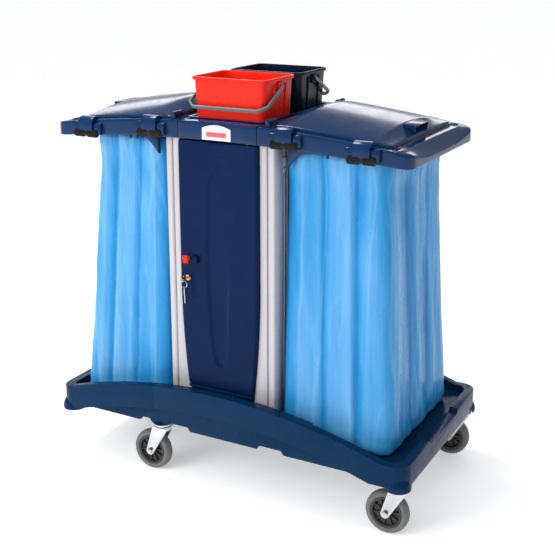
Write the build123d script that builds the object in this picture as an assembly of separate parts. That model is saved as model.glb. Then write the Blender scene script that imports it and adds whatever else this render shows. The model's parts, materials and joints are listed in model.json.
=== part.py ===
from build123d import *
from math import acos, cos, degrees, radians, sin, sqrt
import os

# Housekeeping cart: an arched platform on five castors, a locker in the middle, a lidded bag frame
# on each side and two buckets in a tray on top.
# Millimetres, +X along the cart to the viewer's right when facing the door, +Y to the rear, +Z up.
# Below, x = 0 is the locker's middle. The platform reaches further to the right than to the left, so
# save() moves every piece to put the origin on the floor under the middle of the whole cart.

# ---------------------------------------------------------------- driving sizes
platform_half_length = 576.0
platform_centre_x = 20.0         # from the locker's middle to the platform's middle
platform_half_depth = 308.0
platform_bottom = 158.0          # underside of the castor bosses, which is the castors' height
deck_top = 200.0
deck_thickness = 10.0
rim_wall = 26.0
rim_corner_radius = 45.0
rim_crown = 306.0                # top of the arched front rim at the middle
rim_arch_radius = 1700.0
band_underside_crown = 235.0     # where the rim's face stops and the recessed skirt begins
band_underside_radius = 1600.0
skirt_inset = 31.0
skirt_wall = 12.0
end_rim_height = 222.0
end_rim_dip = 12.0
end_rim_dip_half_width = 108.0
end_rim_dip_slant = 14.0
ledge_half_length = 300.0
ledge_depth = 24.0
ledge_below_rim = 10.0
module_seam_x = -200.0           # joint between the main platform and the left one
seam_tongue = 50.0
bumper_bottom = 148.0
bumper_height = 46.0
bumper_radius = 36.0
bumper_offset = 13.4             # outwards in x and y from the corner's own centre
notch_height = 12.0
notch_slant = 9.0

wheel_radius = 62.5
tyre_width = 32.0
hub_radius = 46.0
hub_width = 35.0
axle_radius = 5.0
running_clearance = 0.05         # radial, between a shaft and the bore it turns in
castor_trail = 36.0
castor_fork_gap = 39.0
fork_plate = 2.5
kingpin_radius = 6.0
castor_head_radius = 29.0
castor_x_right = 566.0
castor_x_left = -204.0
castor_y = 258.0
middle_castor_x = -444.0
middle_castor_heading = -38.0    # the direction its trail points, from -X

cabinet_half_width = 175.0
cabinet_half_depth = 238.0
column_face_width = 47.5
column_depth = 33.0
column_ridge = 7.0
column_flare_top = 640.0         # below this height the column widens inwards
column_flare_radius = 2890.0
side_panel_thickness = 4.0
side_rib_depth = 4.0
side_rib_pitch = 17.0
cabinet_floor_top = 304.0
cabinet_floor_thickness = 8.0
shelf_heights = (540.0, 780.0)
shelf_thickness = 6.0

door_gap = 1.5
door_bottom = 307.0
door_top = 1030.0
door_thickness = 26.0
door_front_y = -259.0
door_skin = 4.0
door_edge = 9.0
door_pin_radius = 4.0
door_pin_x = 92.0
door_pin_y = -247.0
door_pin_reach = 12.0
door_edge_radius = 8.0           # lets the hinged edge turn past the column
relief_height = 1.5
knob_x = -96.0
knob_z = 692.0
knob_radius = 12.0
lock_x = -99.0
lock_z = 634.0
lock_radius = 9.0
spindle_radius = 4.0

frame_half_length = 562.0
frame_half_depth = 255.0
frame_crown = 1087.0             # top of the arched frame at the middle
frame_arch_radius = 3800.0
frame_underside = 1036.0
frame_underside_radius = 5400.0
frame_wall = 4.0
frame_split_x = 125.0
bag_opening_inner = 196.0
bag_opening_outer = 468.0
bag_opening_half_depth = 212.0
well_half_width = 118.0
well_half_depth = 208.0
gusset_reach = 96.0
gusset_drop = 54.0
gusset_thickness = 14.0
end_ridge_x = 528.0              # from here outwards the frame's top slopes down
end_slope_drop = 20.0

lid_hinge_x = 150.0
lid_hinge_z = 1097.0
lid_pin_radius = 3.0
lid_knuckle_radius = 7.0
lid_inner_x = 159.0
lid_crease_x = 457.0             # the crown stops here and a slope runs down to the outer edge
lid_outer_x = 498.0
lid_half_depth = 230.0
lid_rise = 42.0
lid_fall = 0.05                  # loss of rise per millimetre towards the outer end
lid_wall = 3.5
lid_gap = 1.0
lid_tab_reach = 38.0
lid_tab_half_width = 51.0
lid_tab_top = 1090.0

ring_radius = 4.0
bag_top = 1022.0
bag_bottom = 201.0
bag_top_half_depth = 205.0
bag_bottom_half_depth = 236.0
bag_inner_x = 184.0
bag_corner_radius = 60.0
bag_wall = 5.0
bag_outer_x = {-1: (440.0, 515.0), 1: (478.0, 524.0)}   # top and bottom, left and right bag

tray_flange = 6.0
tray_wall = 3.0
tray_floor = 1034.0
tray_flange_z = 1087.3
bucket_rim_z = 1200.0
bucket_half_width = 115.0
bucket_half_depth = 89.0
bucket_base_half_width = 107.0
bucket_base_half_depth = 83.0
bucket_lip = 6.0
bucket_lip_height = 9.0
bucket_wall = 2.6
bucket_pitch = 105.0             # distance of each bucket's middle from the tray's middle
bail_pivot_z = 1176.0
bail_reach = 120.0
bail_width = 11.0
bail_thickness = 5.0
bail_pin_radius = 3.0
bail_hang_degrees = 29.0         # how far below level the bail hangs at rest

clip_positions = (-434.0, -213.0, 213.0, 434.0)
clip_width = 50.0
clip_roller_radius = 12.5
clip_roller_length = 78.0
badge_width = 91.0
badge_height = 42.0
badge_thickness = 2.5

side_names = {-1: "left", 1: "right"}


# ---------------------------------------------------------------- small helpers
def block(x0, x1, y0, y1, z0, z1):
    """A box given by its lowest and highest corners."""
    return Pos((x0 + x1) / 2, (y0 + y1) / 2, (z0 + z1) / 2) * Box(x1 - x0, y1 - y0, z1 - z0)


def rounded_block(half_x, half_y, radius, z0, z1):
    """An upright block about the origin with rounded vertical corners."""
    return extrude(Pos(0, 0, z0) * RectangleRounded(2 * half_x, 2 * half_y, radius), z1 - z0)


def rod(point, direction, radius, length):
    """A cylinder that starts at a point and runs along a direction."""
    return extrude(Plane(point, z_dir=direction) * Circle(radius), length)


def arch_height(crown, radius, x):
    """Height at x of an arc whose top is at x = 0."""
    return crown - radius + sqrt(radius ** 2 - x ** 2)


def under_arch(crown, radius, x0, x1, y0, y1, z0):
    """The solid between z0 and an arch, from x0 to x1 and y0 to y1."""
    ends = [(x0, arch_height(crown, radius, x0)), (x1, arch_height(crown, radius, x1))]
    middle = (x0 + x1) / 2
    outline = [
        Line((x1, z0), (x0, z0)),
        Line((x0, z0), ends[0]),
        ThreePointArc(ends[0], (middle, arch_height(crown, radius, middle)), ends[1]),
        Line(ends[1], (x1, z0)),
    ]
    return extrude(front_plane(y0) * make_face(outline), -(y1 - y0))


def front_plane(y):
    """An upright plane facing the front, drawn in x and z."""
    return Plane((0, y, 0), x_dir=(1, 0, 0), z_dir=(0, -1, 0))


def mirror_x(shape):
    return mirror(shape, about=Plane.YZ)


def mirror_y(shape):
    return mirror(shape, about=Plane.XZ)


def four_corners(shape):
    """The shape and its copies across both upright middle planes."""
    pair = [shape, mirror_x(shape)]
    return pair + [mirror_y(piece) for piece in pair]


def save(name, shape):
    """Write one node. Several separate solids go into one file as a compound."""
    pieces = shape if isinstance(shape, list) else [shape]
    solids = [solid for piece in pieces for solid in piece.solids()]
    solids = [Pos(-platform_centre_x, 0, 0) * solid for solid in solids]
    body = solids[0] if len(solids) == 1 else Compound(children=solids)
    export_step(body, f"parts/{name}.step")


# ---------------------------------------------------------------- platform
def castor_places():
    """Swivel axis of each castor and the direction its trail points, in degrees from -X."""
    return [
        (castor_x_right, -castor_y, 0.0),
        (castor_x_right, castor_y, 0.0),
        (castor_x_left, -castor_y, 0.0),
        (castor_x_left, castor_y, 0.0),
        (middle_castor_x, 0.0, middle_castor_heading),
    ]


def whole_platform():
    """Both platform mouldings as one body, before they are parted at the seam."""
    length, depth = platform_half_length, platform_half_depth
    centre = Pos(platform_centre_x, 0, 0)
    highest = rim_crown + 20
    outline = centre * rounded_block(length, depth, rim_corner_radius, platform_bottom, highest)
    arched = under_arch(rim_crown, rim_arch_radius, -length - 40, length + 40, -depth, depth, platform_bottom)
    ends = centre * block(-length, length, -depth, depth, platform_bottom, end_rim_height)
    body = outline & (arched + ends)

    inner_y = depth - rim_wall
    pocket = centre * rounded_block(length - rim_wall, inner_y, 30, deck_top, highest)
    ledge = under_arch(rim_crown - ledge_below_rim, rim_arch_radius, -ledge_half_length,
                       ledge_half_length, -inner_y, -inner_y + ledge_depth, deck_top)
    body -= pocket - ledge - mirror_y(ledge)
    body -= end_rim_dips()

    # the skirt under the arched face is set back
    skirt_y = depth - skirt_inset
    reach = sqrt(band_underside_radius ** 2
                 - (band_underside_radius - band_underside_crown + platform_bottom) ** 2)
    below = under_arch(band_underside_crown, band_underside_radius, -reach + 1, reach - 1,
                       -depth - 1, depth + 1, platform_bottom - 1)
    body -= below - block(-length, length, -skirt_y, skirt_y, 0, highest)

    # hollow underside, with a round boss over each castor
    hollow = centre * rounded_block(length - rim_wall, skirt_y - skirt_wall, 20, platform_bottom - 1,
                                    deck_top - deck_thickness)
    for x, y, _ in castor_places():
        hollow -= rod((x, y, 0), (0, 0, 1), castor_head_radius + 3, deck_top)
    body -= hollow

    for notch in skirt_notches():
        body -= notch
    return body


def end_rim_dips():
    """A shallow trapezoid that lowers the middle of both end rims."""
    half, low = end_rim_dip_half_width, end_rim_height - end_rim_dip
    outline = Polyline((-half - end_rim_dip_slant, end_rim_height + 1), (-half, low), (half, low),
                       (half + end_rim_dip_slant, end_rim_height + 1), close=True)
    start = platform_centre_x - platform_half_length - 1
    plane = Plane((start, 0, 0), x_dir=(0, 1, 0), z_dir=(1, 0, 0))
    dips = extrude(plane * make_face(outline), 2 * platform_half_length + 2)
    return dips - block(-ledge_half_length, ledge_half_length, -400, 400, 0, rim_crown)


def skirt_notches():
    """Notches in the skirt's lower edge, where the deck bolts are reached."""
    notches = []
    inner = platform_half_depth - skirt_inset - skirt_wall - 1
    for x0, x1 in notch_spans():
        outline = Polyline((x0 - notch_slant, platform_bottom - 1), (x0, platform_bottom + notch_height),
                           (x1, platform_bottom + notch_height), (x1 + notch_slant, platform_bottom - 1),
                           close=True)
        notch = extrude(front_plane(-platform_half_depth - 1) * make_face(outline),
                        inner - platform_half_depth - 1)
        notches += [notch, mirror_y(notch)]
    return notches


def notch_spans():
    half = castor_head_radius + 6
    return [(castor_x_left - half - 26, castor_x_left - half), (castor_x_left + half, castor_x_left + half + 66),
            (140.0, 210.0)]


def platforms():
    """The main platform and the left one, which sits over a tongue of the main one."""
    body = whole_platform()
    far = platform_half_length + 20
    deep = platform_half_depth + 20
    high = rim_crown + 40
    right = block(module_seam_x, far, -deep, deep, 0, high)
    tongue = block(module_seam_x - seam_tongue, module_seam_x, -deep, deep, 0, deck_top - deck_thickness)
    tongue &= block(-far, far, -platform_half_depth + skirt_inset, platform_half_depth - skirt_inset, 0, high)
    main_half = right + tongue
    save("main_platform", body & main_half)
    save("left_platform", body - main_half)


def corner_bumpers():
    """A domed pad on the outside of each platform corner, hanging a little below it."""
    cx = platform_half_length - rim_corner_radius
    cy = platform_half_depth - rim_corner_radius
    profile = [
        Line((0, 0), (bumper_radius, 0)),
        ThreePointArc((bumper_radius, 0), (0.78 * bumper_radius, 0.66 * bumper_height), (0, bumper_height)),
        Line((0, bumper_height), (0, 0)),
    ]
    dome = revolve(Plane.XZ * make_face(profile), Axis.Z)
    pad = Pos(cx + bumper_offset, -cy - bumper_offset, bumper_bottom) * dome
    pad -= rounded_block(platform_half_length, platform_half_depth, rim_corner_radius, platform_bottom, 400)
    pad -= rod((castor_x_right - platform_centre_x, -castor_y, 0), (0, 0, 1), castor_head_radius + 2.5, 400)
    pad = pad.solids().sort_by(SortBy.VOLUME)[-1]
    save("corner_bumpers", [Pos(platform_centre_x, 0, 0) * piece for piece in four_corners(pad)])


def platform_bolts():
    """Hexagon bolts that hang from the deck in the skirt's notches."""
    head = extrude(Pos(0, 0, platform_bottom + 8) * RegularPolygon(8, 6), 7)
    shank = extrude(Pos(0, 0, platform_bottom + 15) * Circle(4), deck_top - deck_thickness - platform_bottom - 15)
    bolt = head + shank
    y = platform_half_depth - skirt_inset - skirt_wall - 12
    places = [(sum(span) / 2, side * y) for span in notch_spans() for side in (-1, 1)]
    save("platform_bolts", [Pos(x, place_y, 0) * bolt for x, place_y in places])


# ---------------------------------------------------------------- castors
def castor_head():
    """The fixed part: a flange under the platform, the upper race and the kingpin."""
    top = platform_bottom
    flange = rod((0, 0, top - 4), (0, 0, 1), castor_head_radius, 4)
    race = rod((0, 0, top - 9), (0, 0, 1), 26, 5)
    pin = rod((0, 0, top - 28), (0, 0, 1), kingpin_radius, 19)
    nut = extrude(Pos(0, 0, top - 31) * RegularPolygon(10, 6), 6)
    return flange + race + pin + nut


def castor_fork():
    """Pressed fork: a crown under the race and two legs that reach back to the axle."""
    top = platform_bottom - 9.3
    crown = rod((0, 0, top - 11), (0, 0, 1), 28, 11) - rod((0, 0, top - 12), (0, 0, 1), 25.5, 9.5)
    crown -= rod((0, 0, top - 20), (0, 0, 1), kingpin_radius + running_clearance, 30)
    outline = make_hull(
        (Pos(-castor_trail, wheel_radius) * Circle(12.5)).edges()
        + Line((-24, top - 3), (26, top - 3)).edges()
        + Line((26, top - 3), (24, top - 12)).edges()
    )
    half_gap = castor_fork_gap / 2
    leg = extrude(front_plane(-half_gap) * outline, fork_plate)
    web = block(-24, 26, -half_gap - fork_plate, half_gap + fork_plate, top - 3, top)
    web &= rod((0, 0, top - 4), (0, 0, 1), 29, 5)
    web -= rod((0, 0, top - 20), (0, 0, 1), kingpin_radius + running_clearance, 30)
    fork = crown + leg + mirror_y(leg) + web
    fork -= rod((-castor_trail, -40, wheel_radius), (0, 1, 0), axle_radius, 80)
    return fork


def castor_axle():
    """Bolt through the fork legs, with its head and nut."""
    half = castor_fork_gap / 2 + fork_plate
    shaft = rod((-castor_trail, -half - 6, wheel_radius), (0, 1, 0), axle_radius, 2 * half + 12)
    hexagon = RegularPolygon(9.2, 6)
    head = extrude(Plane((-castor_trail, -half, wheel_radius), z_dir=(0, -1, 0)) * hexagon, 5)
    return shaft + head + mirror_y(head)


def castor_tyre():
    ring = rod((-castor_trail, -tyre_width / 2, wheel_radius), (0, 1, 0), wheel_radius, tyre_width)
    ring = fillet(ring.edges(), 7)
    return ring - rod((-castor_trail, -20, wheel_radius), (0, 1, 0), hub_radius, 40)


def castor_hub():
    centre = (-castor_trail, -hub_width / 2, wheel_radius)
    rim = rod((-castor_trail, -tyre_width / 2 + 3, wheel_radius), (0, 1, 0), hub_radius, tyre_width - 6)
    dish = rod((-castor_trail, -20, wheel_radius), (0, 1, 0), hub_radius - 6, 40)
    web = rod((-castor_trail, -4, wheel_radius), (0, 1, 0), hub_radius - 5.5, 8)
    core = rod(centre, (0, 1, 0), 15, hub_width)
    hub = (rim - dish) + web + core
    return hub - rod((-castor_trail, -30, wheel_radius), (0, 1, 0), axle_radius + running_clearance, 60)


def castors():
    pieces = {"castor_fork": castor_fork(), "castor_axle": castor_axle(),
              "castor_tyre": castor_tyre(), "castor_hub": castor_hub()}
    heads = []
    for number, (x, y, heading) in enumerate(castor_places(), start=1):
        place = Pos(x, y, 0) * Rot(0, 0, heading)
        heads.append(Pos(x, y, 0) * castor_head())
        for name, shape in pieces.items():
            save(f"{name}_{number}", place * shape)
    save("castor_heads", heads)


# ---------------------------------------------------------------- locker
def column_inner_edge(z):
    """Distance from the middle to the column's inner edge, which flares inwards low down."""
    straight = cabinet_half_width - column_face_width
    drop = max(0.0, column_flare_top - z)
    return straight - (column_flare_radius - sqrt(column_flare_radius ** 2 - drop ** 2))


def flared_outline(outer, low, high, gap):
    """Outline in x and z from a straight outer edge to the flared inner edge less a gap."""
    bottom = (column_inner_edge(low) + gap, low)
    bend = (column_inner_edge(column_flare_top) + gap, column_flare_top)
    between = (low + column_flare_top) / 2
    return [
        ThreePointArc(bottom, (column_inner_edge(between) + gap, between), bend),
        Line(bend, (bend[0], high)),
        Line((bend[0], high), (outer, high)),
        Line((outer, high), (outer, low)),
        Line((outer, low), bottom),
    ]


def front_right_column():
    """A corner column with two rounded ridges down its front face."""
    front = -cabinet_half_depth
    high = frame_underside + 10
    slab = extrude(front_plane(front) * make_face(flared_outline(cabinet_half_width, deck_top, high, 0)),
                   -column_depth)
    outer_ridge = block(cabinet_half_width - 22, cabinet_half_width - 1, front - column_ridge, front,
                        deck_top, high)
    outer_ridge = fillet(outer_ridge.faces().sort_by(Axis.Y)[0].edges().filter_by(Axis.Z), 6)
    strip = flared_outline(cabinet_half_width - 26, deck_top, high, 1)
    inner_ridge = extrude(front_plane(front) * make_face(strip), column_ridge - 1)
    column = slab + outer_ridge + inner_ridge
    column -= block(130, cabinet_half_width - 3, front + 3, front + column_depth + 1, deck_top - 1, high + 1)
    return column & frame_under_space()


def frame_under_space():
    """Everything below the top frames' arched underside."""
    reach = frame_half_length
    return under_arch(frame_underside, frame_underside_radius, -reach, reach, -400, 400, 0)


def columns():
    right = front_right_column()
    save("column_front_right", right)
    save("column_front_left", mirror_x(right) - strike_slots())
    save("column_rear_right", mirror_y(right))
    save("column_rear_left", mirror_x(mirror_y(right)))


def strike_slots():
    """Slots in the column's inner wall for the latch's cam and the lock's cam."""
    wall_x = -column_inner_edge(knob_z)
    back = door_front_y + door_thickness
    latch_slot = block(wall_x - 4, wall_x + 2, back - 1, back + 6.5, knob_z - 34, knob_z + 16)
    lock_slot = block(wall_x - 4, wall_x + 2, back - 1, back + 5.5, lock_z - 32, lock_z + 14)
    return latch_slot + lock_slot


def side_panels():
    """Upright panels between the front and rear columns, ribbed on the outside."""
    reach = cabinet_half_depth - column_depth
    outer = cabinet_half_width - 3 - side_rib_depth
    panel = block(outer - side_panel_thickness, outer, -reach, reach, deck_top, frame_underside + 5)
    count = int(2 * reach / side_rib_pitch)
    for index in range(count):
        y = (index - (count - 1) / 2) * side_rib_pitch
        panel += block(outer, outer + side_rib_depth, y - 3.5, y + 3.5, deck_top, frame_underside + 5)
    panel &= frame_under_space()
    save("side_panel_right", panel)
    save("side_panel_left", mirror_x(panel))


def panel_inner_x():
    return cabinet_half_width - 3 - side_rib_depth - side_panel_thickness


def rear_panel():
    """Fixed panel between the rear columns, with three shallow ribs."""
    outline = flared_outline(0, deck_top, frame_underside + 5, -0.0)
    back = cabinet_half_depth
    half = extrude(front_plane(back - 12) * make_face(outline), -4)
    panel = half + mirror_x(half)
    for x in (-60.0, 0.0, 60.0):
        panel += block(x - 8, x + 8, back - 8, back - 4, deck_top + 130, frame_underside - 40)
    save("back_panel", panel & frame_under_space())


def cabinet_floor():
    """Floor of the locker, with a tongue to the front that carries the lower door pin."""
    low = cabinet_floor_top - cabinet_floor_thickness
    inner = panel_inner_x()
    reach = cabinet_half_depth - column_depth
    tongue = column_inner_edge(low) - 0.5
    plate = block(-inner, inner, -reach, reach, low, cabinet_floor_top)
    plate += block(-tongue, tongue, -cabinet_half_depth - 18, -reach, low, cabinet_floor_top)
    plate += block(-tongue, tongue, reach, cabinet_half_depth - 12, low, cabinet_floor_top)
    plate -= rod((door_pin_x, door_pin_y, 0), (0, 0, 1), door_pin_radius, 400)
    save("cabinet_floor", plate)


def cabinet_shelves():
    inner = panel_inner_x()
    shelves = [block(-inner, inner, -186, cabinet_half_depth - column_depth, z, z + shelf_thickness)
               for z in shelf_heights]
    save("cabinet_shelves", shelves)


# ---------------------------------------------------------------- door, latch and lock
def door_half_outline():
    return flared_outline(0, door_bottom, door_top, -door_gap)


def leaf_relief():
    """A long shallow leaf: round-shouldered at the top, pointed at the bottom."""
    tip, waist, head = (4.0, 375.0), 750.0, 970.0
    right = [Spline((4, 375), (44, 520), (62, waist), (50, 900), (44, head),
                    tangents=[(0.35, 1), (-0.15, 1)])]
    left = [Spline((-36, head), (-44, 900), (-54, waist), (-36, 520), tip,
                   tangents=[(-0.15, -1), (0.35, -1)])]
    outline = right + [ThreePointArc((44, head), (4, head + 16), (-36, head))] + left
    return extrude(front_plane(door_front_y) * make_face(outline), relief_height)


def door():
    """Hollow-backed door with bores for its pins, the latch spindle and the lock."""
    half = extrude(front_plane(door_front_y) * make_face(door_half_outline()), -door_thickness)
    slab = half + mirror_x(half)
    long_edges = [edge for edge in slab.edges()
                  if abs(edge.center().Y - door_front_y) < 0.1 and abs(edge.center().X) > 60]
    slab = fillet(long_edges, door_edge_radius)
    back = door_front_y + door_thickness
    pocket_half = column_inner_edge(door_bottom + 30) - door_gap - door_edge - 14
    slab -= block(-pocket_half, pocket_half, door_front_y + door_skin, back + 1,
                  door_bottom + 26, lock_z - 26)
    slab -= block(knob_x + 22, pocket_half, door_front_y + door_skin, back + 1,
                  lock_z - 14, knob_z + 26)
    slab -= block(-pocket_half, pocket_half, door_front_y + door_skin, back + 1,
                  knob_z + 38, door_top - 26)
    slab += leaf_relief()
    bore = door_pin_radius + running_clearance
    slab -= rod((door_pin_x, door_pin_y, door_bottom - 1), (0, 0, 1), bore, door_pin_reach + 2)
    slab -= rod((door_pin_x, door_pin_y, door_top + 1), (0, 0, -1), bore, door_pin_reach + 2)
    slab -= rod((knob_x, door_front_y - 5, knob_z), (0, 1, 0), spindle_radius + running_clearance, 60)
    slab -= rod((lock_x, door_front_y - 5, lock_z), (0, 1, 0), lock_radius - 2 + running_clearance, 60)
    # finger pull beside the knob
    slab += block(knob_x + 15, knob_x + 39, door_front_y - 12, door_front_y, knob_z - 15, knob_z + 15) \
        - rod((knob_x + 15, door_front_y - 14, knob_z), (0, 1, 0), knob_radius + 2, 13.9)
    save("door", slab)


def door_pins():
    low = rod((door_pin_x, door_pin_y, cabinet_floor_top - cabinet_floor_thickness), (0, 0, 1),
              door_pin_radius, cabinet_floor_thickness + 3 + door_pin_reach)
    ceiling = arch_height(frame_underside, frame_underside_radius, door_pin_x)
    high = rod((door_pin_x, door_pin_y, ceiling + 10), (0, 0, -1), door_pin_radius,
               ceiling + 10 - door_top + door_pin_reach)
    save("door_pins", [low, high])


def latch():
    """Red knob on a spindle through the door, and the cam that turns behind the column's edge."""
    back = door_front_y + door_thickness
    knob = rod((knob_x, door_front_y - 1, knob_z), (0, -1, 0), knob_radius, 20)
    knob = fillet(knob.faces().sort_by(Axis.Y)[0].edges(), 4)
    knob += block(knob_x - 2.5, knob_x + 2.5, door_front_y - 23, door_front_y - 20,
                  knob_z - 9, knob_z + 9)
    save("latch_knob", knob)
    spindle = rod((knob_x, door_front_y - 1, knob_z), (0, 1, 0), spindle_radius, door_thickness + 7)
    cam = block(knob_x - 7, knob_x + 7, back + 1.5, back + 4.5, knob_z - 36, knob_z + 7)
    save("latch_cam", spindle + cam)


def lock():
    """Lock cylinder with its cam, and the key that stands in it with a spare on a ring."""
    back = door_front_y + door_thickness
    barrel = rod((lock_x, door_front_y, lock_z), (0, 1, 0), lock_radius - 2, door_thickness)
    flange = rod((lock_x, door_front_y, lock_z), (0, -1, 0), lock_radius, 4)
    flange = fillet(flange.faces().sort_by(Axis.Y)[0].edges(), 1.5)
    cam = block(lock_x - 6, lock_x + 6, back + 0.5, back + 3.5, lock_z - 30, lock_z + 6)
    barrel += rod((lock_x, back - 1, lock_z), (0, 1, 0), 4, 5)
    slot_cut = block(lock_x - 1.2, lock_x + 1.2, door_front_y - 5, door_front_y + 8, lock_z - 4, lock_z + 4)
    save("lock_cylinder", barrel + flange + cam - slot_cut)

    front = door_front_y - 4
    blade = block(lock_x - 1.1, lock_x + 1.1, front - 6, front + 11, lock_z - 3.8, lock_z + 3.8)
    bow = extrude(Plane((lock_x - 1.1, front - 15, lock_z), z_dir=(1, 0, 0)) * Circle(10), 2.2)
    bow -= rod((lock_x - 2, front - 19, lock_z - 4.5), (1, 0, 0), 2.4, 4)
    save("key", blade + bow)

    ring_centre = (lock_x, front - 19, lock_z - 14.5)
    ring = Plane(ring_centre, z_dir=(0, 1, 0)) * Torus(10, 1.1)
    spare_top = ring_centre[2] - 10
    spare = block(lock_x + 2, lock_x + 4.2, front - 24, front - 14, spare_top - 22, spare_top + 4)
    spare += block(lock_x + 2, lock_x + 4.2, front - 22, front - 16, spare_top - 46, spare_top - 22)
    spare -= rod((lock_x, front - 19, spare_top), (1, 0, 0), 1.6, 6)
    save("key_ring", [ring, spare])


# ---------------------------------------------------------------- top frames
def frame_block(x0, x1, inset=0.0):
    """The arched body of a top frame between two x values, pulled in by an inset all round."""
    depth = frame_half_depth - inset
    top = under_arch(frame_crown - inset, frame_arch_radius, x0, x1, -depth, depth, frame_underside - 80)
    return top - under_arch(frame_underside, frame_underside_radius, x0 - 1, x1 + 1, -400, 400, 0)


def right_frame():
    """Bag frame: an open rectangle with a rounded outer end, hinge lugs and an end roll."""
    x0, x1 = frame_split_x + 0.5, frame_half_length
    end_cut = rounded_block(frame_half_length, frame_half_depth, 38, 900, 1200)
    body = frame_block(x0, x1) & end_cut
    opening = block(bag_opening_inner, bag_opening_outer, -bag_opening_half_depth,
                    bag_opening_half_depth, 900, 1200)
    opening = fillet(opening.edges().filter_by(Axis.Z), 40)
    wall = frame_wall
    hollow = frame_block(x0 + wall, x1 - wall, wall) & rounded_block(
        frame_half_length - wall, frame_half_depth - wall, 34, 900, 1200)
    lip = block(bag_opening_inner - wall, bag_opening_outer + wall, -bag_opening_half_depth - wall,
                bag_opening_half_depth + wall, 900, 1200)
    lip = fillet(lip.edges().filter_by(Axis.Z), 44)
    hollow += block(x0 + wall, x1 - 30, -frame_half_depth + wall, frame_half_depth - wall,
                    frame_underside - 60, frame_underside - 20)
    body = body - opening - (hollow - lip)
    body -= end_slope()
    for side in (-1, 1):
        y0, y1 = sorted((side * 227.5, side * 240))
        lug = block(lid_hinge_x - 7, lid_hinge_x + 7, y0, y1, 1078, lid_hinge_z)
        lug += rod((lid_hinge_x, y0, lid_hinge_z), (0, 1, 0), 7, y1 - y0)
        lug -= rod((lid_hinge_x, y0 - 1, lid_hinge_z), (0, 1, 0), lid_pin_radius, y1 - y0 + 2)
        body += lug
    return body


def end_slope():
    """What the slope takes off the frame's outer end, above the side face."""
    z = arch_height(frame_crown, frame_arch_radius, end_ridge_x)
    outer = frame_half_length + 1
    triangle = Polyline((end_ridge_x, z), (outer, z - end_slope_drop), (outer, z + 20), (end_ridge_x, z + 20),
                        close=True)
    return extrude(front_plane(-frame_half_depth - 1) * make_face(triangle), -2 * (frame_half_depth + 1))


def top_frames():
    right = right_frame()
    save("top_frame_right", right)
    save("top_frame_left", mirror_x(right))

    x = frame_split_x - 0.5
    centre = frame_block(-x, x)
    well = block(-well_half_width, well_half_width, -well_half_depth, well_half_depth, 900, 1200)
    centre -= well
    beam_pocket = block(-70, 70, well_half_depth + 4, frame_half_depth - 4, 900, frame_crown - 8)
    centre -= beam_pocket
    centre -= mirror_y(beam_pocket)
    centre -= rod((door_pin_x, door_pin_y, 1000), (0, 0, 1), door_pin_radius,
                  arch_height(frame_underside, frame_underside_radius, door_pin_x) + 10 - 1000)
    save("top_frame_centre", centre)


def gussets():
    """Curved brackets under the side frames, beside the locker."""
    x0 = cabinet_half_width + 0.2
    x1 = x0 + gusset_reach
    top0 = arch_height(frame_underside, frame_underside_radius, x0)
    top1 = arch_height(frame_underside, frame_underside_radius, x1)
    mid = (x0 + x1) / 2
    outline = [
        ThreePointArc((x0, top0), (mid, arch_height(frame_underside, frame_underside_radius, mid)), (x1, top1)),
        Line((x1, top1), (x1, top1 - 4)),
        ThreePointArc((x1, top1 - 4), (x0 + 0.42 * gusset_reach, top1 - 0.34 * gusset_drop),
                      (x0, top0 - gusset_drop)),
        Line((x0, top0 - gusset_drop), (x0, top0)),
    ]
    gusset = extrude(front_plane(-cabinet_half_depth + 4) * make_face(outline), -gusset_thickness)
    save("gussets", four_corners(gusset))


def badge_plate():
    """Blank plate with an arched top on the centre frame's front."""
    low = 1036 + 1.5
    high = low + badge_height
    half = badge_width / 2
    outline = [
        Line((-half, low), (half, low)),
        Line((half, low), (half, high - 10)),
        ThreePointArc((half, high - 10), (0, high), (-half, high - 10)),
        Line((-half, high - 10), (-half, low)),
    ]
    plate = extrude(front_plane(-frame_half_depth) * make_face(outline), badge_thickness)
    save("badge_plate", plate)


def clip_roller_height(x):
    """Height of a grip's axis: it follows the frame's arch."""
    return arch_height(frame_crown, frame_arch_radius, x) - 37


def tool_clips():
    """Four holders on the front fascia: a bracket hooked over the edge and a rubber grip below."""
    front = -frame_half_depth
    brackets, rollers = [], []
    for x in clip_positions:
        z = clip_roller_height(x)
        top = arch_height(frame_crown, frame_arch_radius, x) + 9
        tab = block(x - clip_width / 2, x + clip_width / 2, front - 18, front - 0.0, z + 6, top)
        tab = fillet(tab.edges().filter_by(Axis.X).sort_by(Axis.Z)[-2:], 6)
        for side in (-1, 1):
            ear_x = x + side * (clip_roller_length / 2 - 4)
            ear = block(ear_x - 7, ear_x + 7, front - 12, front, z - 4, z + 30)
            tab += fillet(ear.edges().filter_by(Axis.X).sort_by(Axis.Y)[:2], 4)
        roller_y = front - 14.0
        bed = rod((x - 60, roller_y, z), (1, 0, 0), clip_roller_radius, 120)
        brackets.append(tab - bed)
        roller = rod((x - clip_roller_length / 2, roller_y, z), (1, 0, 0), clip_roller_radius,
                     clip_roller_length)
        roller -= block(x - 60, x + 60, front, front + 30, z - 40, z + 40)
        notch = rod((x - 6, roller_y, z), (1, 0, 0), 30, 12) - rod((x - 7, roller_y, z), (1, 0, 0), 9, 14)
        rollers.append(roller - notch)
    save("clip_brackets", brackets)
    save("clip_grips", rollers)


def frame_screws():
    """Countersunk screws on the top frames, at the split lines."""
    screw = rod((0, 0, 0), (0, 0, 1), 4.5, 2.0)
    screws = []
    for side_x in (-1, 1):
        for side_y in (-1, 1):
            x = side_x * 136.0
            z = arch_height(frame_crown, frame_arch_radius, x - side_x * 4.5)
            screws.append(Pos(x, side_y * 236.0, z) * screw)
    save("frame_screws", screws)


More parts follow.
